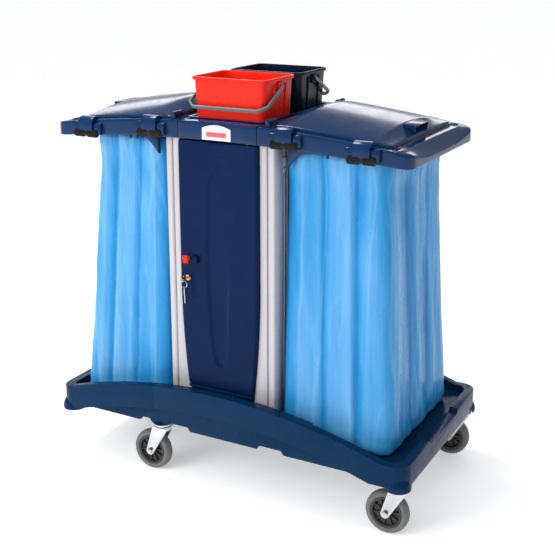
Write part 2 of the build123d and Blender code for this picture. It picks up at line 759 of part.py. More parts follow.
# ---------------------------------------------------------------- lids
def lid_crown(x):
    """Height of a lid's top along its middle."""
    rim_z = arch_height(frame_crown, frame_arch_radius, x)
    ease = min(1.0, max(0.0, (x - lid_inner_x) / 70))
    return rim_z + 12 + (lid_rise - 12) * (1 - (1 - ease) ** 2) - lid_fall * max(0.0, x - 237)


def lid_section(x, crown_z, inset):
    """Cross-section of a lid at x: open below, crowned above."""
    rim_z = arch_height(frame_crown, frame_arch_radius, x)
    half = lid_half_depth - inset
    shoulder = rim_z + 7 - inset
    outline = [
        Line((-half, rim_z - 25), (-half, shoulder)),
        ThreePointArc((-half, shoulder), (0, crown_z - inset), (half, shoulder)),
        Line((half, shoulder), (half, rim_z - 25)),
        Line((half, rim_z - 25), (-half, rim_z - 25)),
    ]
    return Plane((x, 0, 0), x_dir=(0, 1, 0), z_dir=(1, 0, 0)) * make_face(outline)


def lid_body(inset):
    """The solid inside a lid's skin: the crown, then the slope to the outer edge."""
    x0 = lid_inner_x + inset
    stations = [x0 + (lid_crease_x - x0) * part for part in (0.0, 0.1, 0.22, 0.45, 0.72, 1.0)]
    crown = loft([lid_section(x, lid_crown(x), inset) for x in stations])
    x1 = lid_outer_x - inset
    edge_z = arch_height(frame_crown, frame_arch_radius, x1) + 9
    slope = loft([lid_section(lid_crease_x, lid_crown(lid_crease_x), inset),
                  lid_section(x1, edge_z, inset)], ruled=True)
    return crown + slope


def right_lid():
    """Crowned lid with hinge knuckles at the inner end and a hollow grip tab at the outer end."""
    inside = lid_body(lid_wall)
    shell = lid_body(0.0)
    tab_x0, tab_x1 = lid_crease_x - 9, lid_crease_x + lid_tab_reach
    tab = block(tab_x0, tab_x1, -lid_tab_half_width, lid_tab_half_width, lid_tab_top - 30, lid_tab_top)
    shell += tab
    shell -= inside - block(tab_x0, tab_x1, -400, 400, lid_tab_top - lid_wall, lid_tab_top)
    shell -= block(tab_x0 + 2 * lid_wall, tab_x1 + 1, lid_wall - lid_tab_half_width,
                   lid_tab_half_width - lid_wall, lid_tab_top - 22, lid_tab_top - lid_wall)
    shell -= under_arch(frame_crown + lid_gap, frame_arch_radius, 0, 600, -400, 400, 900)
    for side in (-1, 1):
        y0, y1 = sorted((side * 197, side * 227))
        knuckle = rod((lid_hinge_x, y0, lid_hinge_z), (0, 1, 0), lid_knuckle_radius, y1 - y0)
        knuckle += block(lid_hinge_x, lid_inner_x + 3, y0, y1, lid_hinge_z - 7, lid_hinge_z - 2)
        knuckle -= rod((lid_hinge_x, y0 - 1, lid_hinge_z), (0, 1, 0), lid_pin_radius + running_clearance,
                       y1 - y0 + 2)
        shell += knuckle
    return shell


def lids():
    right = right_lid()
    save("lid_right", right)
    save("lid_left", mirror_x(right))
    pin = rod((lid_hinge_x, -241, lid_hinge_z), (0, 1, 0), lid_pin_radius, 46)
    pin += rod((lid_hinge_x, -240, lid_hinge_z), (0, -1, 0), 6, 4)
    save("lid_hinge_pins", four_corners(pin))


# ---------------------------------------------------------------- bags
def bag_rings():
    """Wire rings that hold the bags' mouths under the frames."""
    z = frame_underside - 18
    half_x = (bag_opening_outer - bag_opening_inner) / 2 + 2
    half_y = bag_opening_half_depth - 8
    wire = RectangleRounded(2 * half_x, 2 * half_y, 40) - RectangleRounded(
        2 * half_x - 4 * ring_radius, 2 * half_y - 4 * ring_radius, 40 - 2 * ring_radius)
    centre_x = (bag_opening_outer + bag_opening_inner) / 2
    ring = extrude(Pos(centre_x, 0, z) * wire, 2 * ring_radius)
    hangers = [block(x - 4, x + 4, side * half_y - 4, side * half_y + 4, z + 2 * ring_radius,
                     z + 40) for x in (centre_x - 90, centre_x + 90) for side in (-1, 1)]
    for hanger in hangers:
        ring += hanger
    body = frame_block(frame_split_x + 0.5, frame_half_length)
    ring -= body
    ring = ring.solids().sort_by(SortBy.VOLUME)[-1]
    save("bag_rings", [ring, mirror_x(ring)])


def bag_section(z, outer_x, half_depth, inset=0.0):
    """Rounded rectangle that a bag has at a height."""
    width = outer_x - bag_inner_x - 2 * inset
    return Pos((outer_x + bag_inner_x) / 2, 0, z) * RectangleRounded(
        width, 2 * (half_depth - inset), bag_corner_radius - inset)


def bag(top_outer, bottom_outer):
    """A filled bag, open at the top: an upright loft that widens towards the bottom."""
    top = bag_top - 14
    outer = loft([bag_section(bag_bottom, bottom_outer, bag_bottom_half_depth),
                  bag_section(top, top_outer, bag_top_half_depth)])
    inner = loft([bag_section(bag_bottom + bag_wall, bottom_outer, bag_bottom_half_depth, bag_wall),
                  bag_section(top + 1, top_outer, bag_top_half_depth, bag_wall)])
    return outer - inner


def bags():
    save("bag_right", bag(*bag_outer_x[1]))
    save("bag_left", mirror_x(bag(*bag_outer_x[-1])))


# ---------------------------------------------------------------- tray and buckets
def centre_tray():
    """A flanged tub that drops into the centre frame and holds both buckets."""
    x, y = well_half_width - 0.5, well_half_depth - 0.5
    tub = rounded_block(x, y, 12, tray_floor, tray_flange_z + 3)
    tub += rounded_block(x + tray_flange, y + tray_flange, 16, tray_flange_z, tray_flange_z + 3)
    tub -= rounded_block(x - tray_wall, y - tray_wall, 9, tray_floor + tray_wall, 1200)
    save("centre_tray", tub)


def bucket(y):
    """Tapered rectangular bucket with a rolled lip and an ear with a bore on each side."""
    base_z = tray_floor + tray_wall + 0.5

    def section(z, grow):
        part = (z - base_z) / (bucket_rim_z - base_z)
        half_x = bucket_base_half_width + (bucket_half_width - bucket_base_half_width) * part + grow
        half_y = bucket_base_half_depth + (bucket_half_depth - bucket_base_half_depth) * part + grow
        return Pos(0, y, z) * RectangleRounded(2 * half_x, 2 * half_y, 22 + grow)

    outer = loft([section(base_z, 0), section(bucket_rim_z, 0)])
    inner = loft([section(base_z + bucket_wall, -bucket_wall), section(bucket_rim_z + 1, -bucket_wall)])
    lip_z = bucket_rim_z - bucket_lip_height
    lip = extrude(Pos(0, y, lip_z) * RectangleRounded(
        2 * (bucket_half_width + bucket_lip), 2 * (bucket_half_depth + bucket_lip), 28), bucket_lip_height)
    hollow_lip = extrude(Pos(0, y, lip_z - 1) * RectangleRounded(
        2 * (bucket_half_width + bucket_lip - 2.5), 2 * (bucket_half_depth + bucket_lip - 2.5), 26),
        bucket_lip_height - 2)
    body = outer + (lip - hollow_lip)
    for side in (-1, 1):
        x0, x1 = sorted((side * (bucket_half_width - 8), side * (bucket_half_width + bucket_lip - 0.5)))
        body += block(x0, x1, y - 11, y + 11, bail_pivot_z - 10, lip_z + 2)
    body -= inner
    for side in (-1, 1):
        bore = rod((side * (bucket_half_width - 2), y, bail_pivot_z), (side, 0, 0),
                   bail_pin_radius + running_clearance, bucket_lip + 10)
        body -= bore
    return body


def bail(y, forward):
    """Flat bail: two arms from the pins to a cross bar, hanging to the front or the rear."""
    angle = radians(bail_hang_degrees)
    inner_x = bucket_half_width + bucket_lip + 1.5
    half_y = forward * cos(angle)
    drop = -sin(angle)
    far = (y + half_y * bail_reach, bail_pivot_z + drop * bail_reach)
    along = Vector(0, half_y, drop)
    arm_plane = Plane((inner_x, y, bail_pivot_z), x_dir=along, z_dir=(1, 0, 0))
    arm = extrude(arm_plane * (Pos(bail_reach / 2, 0) * SlotOverall(bail_reach + bail_width, bail_width)),
                  bail_thickness)
    pin = rod((bucket_half_width + 1, y, bail_pivot_z), (1, 0, 0), bail_pin_radius,
              inner_x + bail_thickness - bucket_half_width - 1)
    bar_length = 2 * (inner_x + bail_thickness)
    bar = rod((-bar_length / 2, far[0], far[1]), (1, 0, 0), bail_width / 2, bar_length)
    return arm + mirror_x(arm) + pin + mirror_x(pin) + bar


def buckets():
    save("red_bucket", bucket(-bucket_pitch))
    save("navy_bucket", bucket(bucket_pitch))
    save("red_bail", bail(-bucket_pitch, -1))
    save("navy_bail", bail(bucket_pitch, 1))


def main():
    os.makedirs("parts", exist_ok=True)
    platforms()
    corner_bumpers()
    platform_bolts()
    castors()
    columns()
    side_panels()
    rear_panel()
    cabinet_floor()
    cabinet_shelves()
    door()
    door_pins()
    latch()
    lock()
    top_frames()
    gussets()
    badge_plate()
    tool_clips()
    frame_screws()
    lids()
    bag_rings()
    bags()
    centre_tray()
    buckets()


main()
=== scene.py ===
import bpy
import bmesh
import json
from math import copysign, cos, exp, pi, radians, sin, sqrt
from mathutils import Matrix, Vector, noise

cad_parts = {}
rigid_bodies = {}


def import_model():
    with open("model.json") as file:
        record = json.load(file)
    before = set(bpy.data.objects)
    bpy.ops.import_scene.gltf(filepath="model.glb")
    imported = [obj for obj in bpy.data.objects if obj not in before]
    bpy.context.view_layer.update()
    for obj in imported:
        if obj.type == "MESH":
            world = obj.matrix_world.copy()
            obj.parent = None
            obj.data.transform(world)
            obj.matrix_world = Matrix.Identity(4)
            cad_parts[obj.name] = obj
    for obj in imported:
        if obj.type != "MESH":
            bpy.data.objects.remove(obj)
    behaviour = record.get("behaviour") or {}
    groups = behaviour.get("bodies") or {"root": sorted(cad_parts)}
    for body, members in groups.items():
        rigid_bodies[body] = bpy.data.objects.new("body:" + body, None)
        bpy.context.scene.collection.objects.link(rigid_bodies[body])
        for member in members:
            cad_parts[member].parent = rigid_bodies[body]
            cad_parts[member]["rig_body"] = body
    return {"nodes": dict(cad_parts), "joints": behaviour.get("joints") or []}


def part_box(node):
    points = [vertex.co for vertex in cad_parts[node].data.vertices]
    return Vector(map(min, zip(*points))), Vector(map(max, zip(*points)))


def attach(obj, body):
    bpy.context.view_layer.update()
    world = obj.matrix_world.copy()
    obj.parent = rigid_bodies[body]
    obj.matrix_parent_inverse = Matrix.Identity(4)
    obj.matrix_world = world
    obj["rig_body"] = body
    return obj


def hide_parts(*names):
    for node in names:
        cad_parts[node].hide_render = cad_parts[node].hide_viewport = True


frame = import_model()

scene = bpy.context.scene
cad = frame["nodes"]
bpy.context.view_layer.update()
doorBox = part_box("door")
midX = (doorBox[0].x + doorBox[1].x) / 2      # the locker's middle, left of the cart's own
print("frame loaded,", len(cad), "nodes")


# small tools for meshes

def addObject(name, mesh):
    piece = bpy.data.objects.new(name, mesh)
    scene.collection.objects.link(piece)
    return piece


def meshFrom(name, points, faces):
    mesh = bpy.data.meshes.new(name)
    mesh.from_pydata([tuple(p) for p in points], [], faces)
    mesh.validate()
    return mesh


def gridFaces(rows, columns, closeRows=False, closeColumns=False):
    faces = []
    for i in range(rows if closeRows else rows - 1):
        for j in range(columns if closeColumns else columns - 1):
            i2, j2 = (i + 1) % rows, (j + 1) % columns
            faces.append((i * columns + j, i2 * columns + j, i2 * columns + j2, i * columns + j2))
    return faces


def bandFaces(near, far):
    # quads between two loops of point numbers that have the same count
    count = len(near)
    return [(near[k], near[(k + 1) % count], far[(k + 1) % count], far[k]) for k in range(count)]


def gridBorder(rows, columns):
    # numbers of a grid's outer points, once round
    last = (rows - 1) * columns
    border = list(range(columns)) + [i * columns + columns - 1 for i in range(1, rows)]
    border += [last + j for j in range(columns - 2, -1, -1)]
    return border + [i * columns for i in range(rows - 2, 0, -1)]


def loftFaces(rows, columns):
    # rings joined in order, with a cap on the first and the last
    last = (rows - 1) * columns
    caps = [tuple(reversed(range(columns))), tuple(range(last, last + columns))]
    return gridFaces(rows, columns, closeColumns=True) + caps


def outward(mesh):
    bm = bmesh.new()
    bm.from_mesh(mesh)
    bmesh.ops.remove_doubles(bm, verts=bm.verts, dist=0.00001)
    bmesh.ops.recalc_face_normals(bm, faces=bm.faces)
    bm.to_mesh(mesh)
    bm.free()
    return mesh


def bevelEdges(piece, width, segments=2, angle=30):
    bevel = piece.modifiers.new("rounded edges", "BEVEL")
    bevel.width = width
    bevel.segments = segments
    bevel.limit_method = "ANGLE"
    bevel.angle_limit = radians(angle)
    bevel.harden_normals = False
    bevel.use_clamp_overlap = True


def bake(piece, smoothAngle=34):
    # every modifier becomes plain mesh, so nothing live is left on the piece
    depsgraph = bpy.context.evaluated_depsgraph_get()
    mesh = bpy.data.meshes.new_from_object(piece.evaluated_get(depsgraph))
    piece.modifiers.clear()
    old = piece.data
    piece.data = mesh
    if old.users == 0:
        bpy.data.meshes.remove(old)
    mesh.shade_smooth()
    mesh.set_sharp_from_angle(angle=radians(smoothAngle))


def finishPiece(piece, material, body="cart", replaces=(), smoothAngle=34):
    bake(piece, smoothAngle)
    if material is not None:
        piece.data.materials.clear()
        piece.data.materials.append(material)
    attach(piece, body)
    if replaces:
        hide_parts(*replaces)
    return piece


def baked(piece, smoothAngle=40):
    # the finished mesh alone, its object thrown away
    bake(piece, smoothAngle)
    mesh = piece.data
    bpy.data.objects.remove(piece)
    return mesh


def softened(mesh, width, segments=2, angle=40, smoothAngle=40):
    piece = addObject("temporary", mesh)
    bevelEdges(piece, width, segments, angle)
    return baked(piece, smoothAngle)


def joinMeshes(name, pieces):
    bm = bmesh.new()
    for piece in pieces:
        bm.from_mesh(piece)
    mesh = bpy.data.meshes.new(name)
    bm.to_mesh(mesh)
    bm.free()
    return mesh


def boxMesh(low, high):
    bm = bmesh.new()
    bmesh.ops.create_cube(bm, size=1.0)
    low, high = Vector(low), Vector(high)
    for vert in bm.verts:
        vert.co = Vector((low[i] + (vert.co[i] + 0.5) * (high[i] - low[i]) for i in range(3)))
    mesh = bpy.data.meshes.new("block")
    bm.to_mesh(mesh)
    bm.free()
    return mesh


def prismMesh(name, near, far):
    # two matching outlines joined by side faces
    count = len(near)
    first, second = tuple(range(count)), tuple(range(count, 2 * count))
    return outward(meshFrom(name, near + far, [first, second[::-1]] + bandFaces(first, second)))


def axisFrame(axis):
    axis = Vector(axis).normalized()
    side = axis.orthogonal().normalized()
    return axis, side, axis.cross(side)


def turned(profile, centre, axis, steps=40, closed=False):
    # a profile of (distance along the axis, radius) turned about it, a closed loop or capped at both ends
    axis, side, other = axisFrame(axis)
    spokes = [side * cos(2 * pi * k / steps) + other * sin(2 * pi * k / steps) for k in range(steps)]
    points = [Vector(centre) + axis * along + spoke * max(radius, 0.00001)
              for along, radius in profile for spoke in spokes]
    faces = gridFaces(len(profile), steps, closed, True)
    if not closed:
        last = (len(profile) - 1) * steps
        faces += [tuple(range(steps)), tuple(reversed(range(last, last + steps)))]
    return outward(meshFrom("turned", points, faces))


def roundedPath(corners, sides, perCorner):
    # corners of (centre x, centre y, first angle, radius), anticlockwise, and steps on the side after each
    path = []
    for index, (cx, cy, start, r) in enumerate(corners):
        for k in range(perCorner + 1):
            a = radians(start + 90 * k / perCorner)
            path.append((cx + r * cos(a), cy + r * sin(a)))
        nextX, nextY, nextStart, nextRadius = corners[(index + 1) % len(corners)]
        a = radians(nextStart)
        target = (nextX + nextRadius * cos(a), nextY + nextRadius * sin(a))
        here = path[-1]
        for k in range(1, sides[index]):
            t = k / sides[index]
            path.append((here[0] + (target[0] - here[0]) * t, here[1] + (target[1] - here[1]) * t))
    return path


def roundedRectangle(halfX, halfY, radius, perCorner, perSide):
    # about the origin, anticlockwise from the lower right corner
    corners = [(sx * (halfX - radius), sy * (halfY - radius), start, radius)
               for sx, sy, start in ((1, -1, -90), (1, 1, 0), (-1, 1, 90), (-1, -1, 180))]
    return roundedPath(corners, (perSide,) * 4, perCorner)


def loftSections(sections):
    # sections of (centre x, centre y, z, half x, half y, radius), joined in order and capped
    points, count = [], 0
    for cx, cy, z, hx, hy, r in sections:
        ring = roundedRectangle(hx, hy, r, 8, 6)
        count = len(ring)
        points += [(cx + x, cy + y, z) for x, y in ring]
    return outward(meshFrom("loft", points, loftFaces(len(sections), count)))


def mirrored(mesh, name):
    copy = mesh.copy()
    copy.name = name
    copy.transform(Matrix.Translation((2 * midX, 0, 0)) @ Matrix.Scale(-1, 4, (1, 0, 0)))
    copy.flip_normals()
    return copy


def softCopy(node, material, width=0.0015, segments=2, body="cart", angle=30, smoothAngle=34):
    # the CAD node again, its flat faces cleaned up and its edges rounded
    mesh = cad[node].data.copy()
    bm = bmesh.new()
    bm.from_mesh(mesh)
    bmesh.ops.remove_doubles(bm, verts=bm.verts, dist=0.00002)
    bmesh.ops.dissolve_limit(bm, angle_limit=radians(0.4), verts=bm.verts, edges=bm.edges)
    bm.to_mesh(mesh)
    bm.free()
    mesh.materials.clear()
    piece = addObject(node + "_soft", mesh)
    bevelEdges(piece, width, segments, angle)
    return finishPiece(piece, material, body, (node,), smoothAngle)


def arch(crown, radius, x):
    return crown - radius + sqrt(radius ** 2 - x ** 2)


def smoothStep(edge0, edge1, value):
    t = min(1.0, max(0.0, (value - edge0) / (edge1 - edge0)))
    return t * t * (3 - 2 * t)


# materials

def newMaterial(name):
    material = bpy.data.materials.new(name)
    material.use_nodes = True
    tree = material.node_tree
    tree.nodes.clear()
    output = tree.nodes.new("ShaderNodeOutputMaterial")
    shader = tree.nodes.new("ShaderNodeBsdfPrincipled")
    tree.links.new(shader.outputs["BSDF"], output.inputs["Surface"])
    coords = tree.nodes.new("ShaderNodeTexCoord")
    return material, tree, shader, coords.outputs["Object"]


def noiseNode(tree, vector, scale, detail=3.0, rough=0.5, stretch=None):
    texture = tree.nodes.new("ShaderNodeTexNoise")
    texture.inputs["Scale"].default_value = scale
    texture.inputs["Detail"].default_value = detail
    texture.inputs["Roughness"].default_value = rough
    if stretch:
        mapping = tree.nodes.new("ShaderNodeMapping")
        mapping.inputs["Scale"].default_value = stretch
        tree.links.new(vector, mapping.inputs["Vector"])
        vector = mapping.outputs["Vector"]
    tree.links.new(vector, texture.inputs["Vector"])
    return texture.outputs["Fac"]


def spread(tree, value, low, high, fromLow=0.3, fromHigh=0.7):
    node = tree.nodes.new("ShaderNodeMapRange")
    node.inputs["From Min"].default_value = fromLow
    node.inputs["From Max"].default_value = fromHigh
    node.inputs["To Min"].default_value = low
    node.inputs["To Max"].default_value = high
    tree.links.new(value, node.inputs["Value"])
    return node.outputs["Result"]


def blendColours(tree, factor, first, second):
    node = tree.nodes.new("ShaderNodeMix")
    node.data_type = "RGBA"
    node.inputs["A"].default_value = (*first, 1)
    node.inputs["B"].default_value = (*second, 1)
    tree.links.new(factor, node.inputs["Factor"])
    return node.outputs["Result"]


def addBump(tree, shader, height, strength, distance, normal=None):
    bump = tree.nodes.new("ShaderNodeBump")
    bump.inputs["Strength"].default_value = strength
    bump.inputs["Distance"].default_value = distance
    tree.links.new(height, bump.inputs["Height"])
    if normal is not None:
        tree.links.new(normal, bump.inputs["Normal"])
    tree.links.new(bump.outputs["Normal"], shader.inputs["Normal"])
    return bump.outputs["Normal"]


def moulded(name, colour, rough=0.25, mottle=0.12, grain=0.15, grainScale=900.0, coat=0.0,
            metallic=0.0, specular=0.5, stretch=None, ripple=0.0):
    # moulded or pressed stock: cloudy colour, uneven gloss, a fine skin texture and a slow ripple
    material, tree, shader, vector = newMaterial(name)
    cloud = noiseNode(tree, vector, 7.0, 4.0, 0.55, stretch)
    shade = spread(tree, cloud, 0.0, 1.0)
    darker = tuple(c * (1 - mottle) for c in colour)
    lighter = tuple(min(1.0, c * (1 + mottle)) for c in colour)
    tree.links.new(blendColours(tree, shade, darker, lighter), shader.inputs["Base Color"])
    wear = noiseNode(tree, vector, 26.0, 5.0, 0.65, stretch)
    tree.links.new(spread(tree, wear, rough * 0.8, rough * 1.3), shader.inputs["Roughness"])
    shader.inputs["Metallic"].default_value = metallic
    shader.inputs["Specular IOR Level"].default_value = specular
    if coat:
        shader.inputs["Coat Weight"].default_value = coat
        shader.inputs["Coat Roughness"].default_value = 0.06
    normal = None
    if ripple:
        slow = noiseNode(tree, vector, 11.0, 1.0, 0.4)
        normal = addBump(tree, shader, slow, ripple, 0.004)
    skin = noiseNode(tree, vector, grainScale, 2.0, 0.5, stretch)
    addBump(tree, shader, skin, grain, 0.0002, normal)
    return material


navyPlastic = moulded("navyPlastic", (0.0045, 0.028, 0.092), rough=0.19, grain=0.08, coat=0.10, ripple=0.05,
                      specular=0.22)
navyBase = moulded("navyBase", (0.0015, 0.024, 0.070), rough=0.24, grain=0.10, coat=0.03, ripple=0.05,
                   specular=0.07)
navyDoor = moulded("navyDoor", (0.0035, 0.0150, 0.060), rough=0.28, grain=0.10, mottle=0.07, specular=0.06)
navyBucketStock = moulded("navyBucketStock", (0.0030, 0.0105, 0.030), rough=0.28, grain=0.12, specular=0.18)
greyProfile = moulded("greyProfile", (0.53, 0.52, 0.545), rough=0.38, mottle=0.035, grain=0.08,
                      stretch=(1, 1, 0.05))
# painted light: the panels' grey is tinted blue to stand in for the blue bags' light falling on them
greyWithPaintedBagLight = moulded("greyWithPaintedBagLight", (0.42, 0.50, 0.62), rough=0.42, mottle=0.05, grain=0.08)
blackClip = moulded("blackClip", (0.008, 0.010, 0.016), rough=0.35, grain=0.2)
blackRubber = moulded("blackRubber", (0.014, 0.013, 0.012), rough=0.62, mottle=0.25, grain=0.5,
                      grainScale=500, specular=0.4)
greyTyre = moulded("greyTyre", (0.150, 0.150, 0.150), rough=0.6, mottle=0.18, grain=0.4, grainScale=420,
                   specular=0.35)
greyHub = moulded("greyHub", (0.030, 0.030, 0.030), rough=0.42, mottle=0.2, grain=0.25)
zinc = moulded("zinc", (0.62, 0.64, 0.66), rough=0.24, mottle=0.12, grain=0.12, grainScale=260, metallic=1.0)
darkSteel = moulded("darkSteel", (0.035, 0.045, 0.075), rough=0.3, mottle=0.12, grain=0.1, metallic=0.6)
brass = moulded("brass", (0.72, 0.50, 0.20), rough=0.22, mottle=0.15, grain=0.1, metallic=1.0)
redPlastic = moulded("redPlastic", (0.92, 0.022, 0.008), rough=0.3, mottle=0.05, grain=0.1, specular=0.25)
greyBail = moulded("greyBail", (0.17, 0.225, 0.245), rough=0.4, mottle=0.1, grain=0.2)
whitePlate = moulded("whitePlate", (0.80, 0.80, 0.81), rough=0.22, mottle=0.02, grain=0.04, coat=0.3)
badgeRed = moulded("badgeRed", (0.80, 0.10, 0.12), rough=0.3, mottle=0.04, grain=0.04)


def fromMiddle(tree, value):
    # a noise's distance from its middle value, which gives thin sharp lines
    centred = tree.nodes.new("ShaderNodeMath")
    centred.operation = "SUBTRACT"
    centred.inputs[1].default_value = 0.5
    tree.links.new(value, centred.inputs[0])
    size = tree.nodes.new("ShaderNodeMath")
    size.operation = "ABSOLUTE"
    tree.links.new(centred.outputs[0], size.inputs[0])
    return size.outputs[0]


filmLook = {
    # colours: place on the ramp and colour, from painted shade to painted highlight; painted highlight lines
    # along the creases: scale, stretch, reach, gain
    # bumps: scale, stretch, strength, depth
    "colours": ((0.15, (0.0005, 0.150, 0.43, 1)), (0.58, (0.026, 0.270, 0.60, 1)),
                (1.0, (0.150, 0.405, 0.72, 1))),
    "lines": ((11.0, (1.0, 1.0, 0.035), 0.020, 0.16), (27.0, (1.0, 1.0, 0.06), 0.03, 0.08)),
    "bumps": ((12.0, (1.0, 1.0, 0.05), 0.55, 0.012), (30.0, (1.0, 1.0, 0.12), 0.35, 0.005),
              (80.0, (1.0, 1.0, 0.5), 0.30, 0.0018), (34.0, (0.7, 0.7, 1.3), 0.22, 0.0028)),
    "gloss": (0.22, 0.36), "specular": 0.16,
}


def filmMaterial(name):
    # thin film: painted shading, pale where it stands proud and deeper in the folds and toward the floor,
    # painted highlight lines along the creases, random streaks, and fine crinkles
    material, tree, shader, vector = newMaterial(name)
    streaks = noiseNode(tree, vector, 9.0, 3.0, 0.55, (1.0, 1.0, 0.16))
    # the bag's painted shading value, added to the random streaks
    attribute = tree.nodes.new("ShaderNodeAttribute")
    attribute.attribute_name = "paintedShading"
    streaksAndShading = tree.nodes.new("ShaderNodeMath")
    streaksAndShading.operation = "MULTIPLY_ADD"
    streaksAndShading.inputs[1].default_value = 0.45
    tree.links.new(streaks, streaksAndShading.inputs[0])
    tree.links.new(attribute.outputs["Fac"], streaksAndShading.inputs[2])
    # painted highlights: thin lighter lines where the creases catch the light
    for scale, stretch, reach, gain in filmLook["lines"]:
        wave = noiseNode(tree, vector, scale, 1.5, 0.5, stretch)
        strength = spread(tree, fromMiddle(tree, wave), gain, 0.0, 0.0, reach)
        total = tree.nodes.new("ShaderNodeMath")
        total.operation = "ADD"
        tree.links.new(streaksAndShading.outputs[0], total.inputs[0])
        tree.links.new(strength, total.inputs[1])
        streaksAndShading = total
    ramp = tree.nodes.new("ShaderNodeValToRGB")
    tree.links.new(streaksAndShading.outputs[0], ramp.inputs["Fac"])
    stops = ramp.color_ramp.elements
    low, middle, high = filmLook["colours"]
    stops[0].position, stops[0].color = low
    stops[1].position, stops[1].color = high
    stops.new(middle[0]).color = middle[1]
    tree.links.new(ramp.outputs["Color"], shader.inputs["Base Color"])
    gloss = noiseNode(tree, vector, 18.0, 4.0, 0.6, (1, 1, 0.4))
    tree.links.new(spread(tree, gloss, *filmLook["gloss"]), shader.inputs["Roughness"])
    shader.inputs["Specular IOR Level"].default_value = filmLook["specular"]
    normal = None
    for scale, stretch, strength, distance in filmLook["bumps"]:
        wave = noiseNode(tree, vector, scale, 2.0, 0.5, stretch)
        normal = addBump(tree, shader, fromMiddle(tree, wave), strength, distance, normal)
    return material


blueFilm = filmMaterial("blueFilm")
print("materials ready")


# top frames: a hollow ring with a rolled fascia, and a lens-shaped scoop on the outer end

frameSizes = {
    "inner": 0.1256, "outer": 0.5618, "halfDepth": 0.255, "corner": 0.038, "seamCorner": 0.002,
    "openInner": 0.196, "openOuter": 0.468, "openHalfDepth": 0.212, "openCorner": 0.040,
    "crown": 1.087, "archRadius": 3.8, "under": 1.036, "underRadius": 5.4,
    "ridgeInset": 0.033, "scoop": 0.021, "channelDepth": 0.0045,
    "beads": (0.1325, 0.1405), "beadRadius": 0.0024, "beadHalfLength": 0.218,
}
hingeSizes = {
    "x": 0.150, "z": 1.097, "radius": 0.007, "inner": 0.197, "middle": 0.227, "fixed": 0.2275, "outer": 0.240,
}


def frameTop(x):
    return arch(frameSizes["crown"], frameSizes["archRadius"], x)


def frameUnder(x):
    return arch(frameSizes["under"], frameSizes["underRadius"], x)


def knuckleProfile(length, bore, ease):
    # a hinge knuckle with eased ends
    r = hingeSizes["radius"]
    end = r - 0.0006
    return [(0, bore), (0, end), (ease, r), (length - ease, r), (length, end), (length, bore)]


def ringPath(x0, x1, halfDepth, cornerAtX1, cornerAtX0):
    # closed path anticlockwise from the outer end's front corner, with the same count for any size
    corners = [(x1 - cornerAtX1, -halfDepth + cornerAtX1, -90, cornerAtX1),
               (x1 - cornerAtX1, halfDepth - cornerAtX1, 0, cornerAtX1),
               (x0 + cornerAtX0, halfDepth - cornerAtX0, 90, cornerAtX0),
               (x0 + cornerAtX0, -halfDepth + cornerAtX0, 180, cornerAtX0)]
    return roundedPath(corners, (44, 40, 30, 40), 10)


def frameRing():
    s = frameSizes
    outer = ringPath(s["inner"], s["outer"], s["halfDepth"], s["corner"], s["seamCorner"])
    inner = ringPath(s["openInner"], s["openOuter"], s["openHalfDepth"], s["openCorner"], s["openCorner"])
    points = []
    profiles = 0
    for (ox, oy), (ix, iy) in zip(outer, inner):
        away = Vector((ix - ox, iy - oy))
        reach = away.length
        # how far this point belongs to the outer end, which has the ridge, the channel and the scoop
        endness = smoothStep(s["outer"] - s["corner"], s["outer"], ox)
        alongEnd = max(0.0, 1 - (oy / (s["halfDepth"] - 0.022)) ** 2)
        scoop = endness * s["scoop"] * alongEnd ** 0.7
        ridge = 0.012 + (s["ridgeInset"] - 0.012) * endness
        channelEnd = 0.026 + (0.060 - 0.026) * endness
        dip = s["channelDepth"] * endness
        lip = 0.0065 * endness * alongEnd ** 0.6       # the thin line below the scoop
        stations = [
            (0.0060, "under", 0.0050), (0.0030, "under", 0.0002), (0.0006, "under", 0.0012),
            (0.0, "under", 0.0036), (0.0, "middle", 0.0),
            (0.0, "top", -0.0078 - scoop), (0.0007, "top", -0.0040 - scoop),
            (0.0022 + lip * 0.3, "top", -0.0018 - scoop), (0.0052 + lip, "top", -0.0004 - scoop * 0.84),
            (0.0110 + (ridge - 0.0110) * 0.40, "top", -0.0005 - scoop * 0.42),
            (0.0110 + (ridge - 0.0110) * 0.78, "top", -scoop * 0.11 + 0.0012 * endness),
            (ridge - 0.0016, "top", 0.0018 * endness), (ridge, "top", 0.0024 * endness),
            (ridge + 0.0018, "top", 0.0016 * endness), (ridge + 0.0034, "top", -dip * 0.5),
            (ridge + 0.0060, "top", -dip), (channelEnd, "top", -dip),
            (channelEnd + 0.0030, "top", -dip * 0.2),
            (reach - 0.0030, "top", 0.0), (reach - 0.0008, "top", -0.0009), (reach, "top", -0.0035),
            (reach, "top", -0.0340), (reach - 0.0035, "top", -0.0345), (reach - 0.0036, "top", -0.0075),
            (0.0110, "top", -0.0180 - scoop * 0.38), (0.0062, "top", -0.0220 - scoop * 0.38),
        ]
        profiles = len(stations)
        for inset, base, rise in stations:
            t = inset / reach
            x, y = ox + away.x * t, oy + away.y * t
            top, under = frameTop(x), frameUnder(x)
            z = {"top": top, "under": under, "middle": under + (top - under) * 0.14}[base] + rise
            points.append((midX + x, y, z))
    faces = gridFaces(len(outer), profiles, closeRows=True, closeColumns=True)
    return outward(meshFrom("frameRing", points, faces))


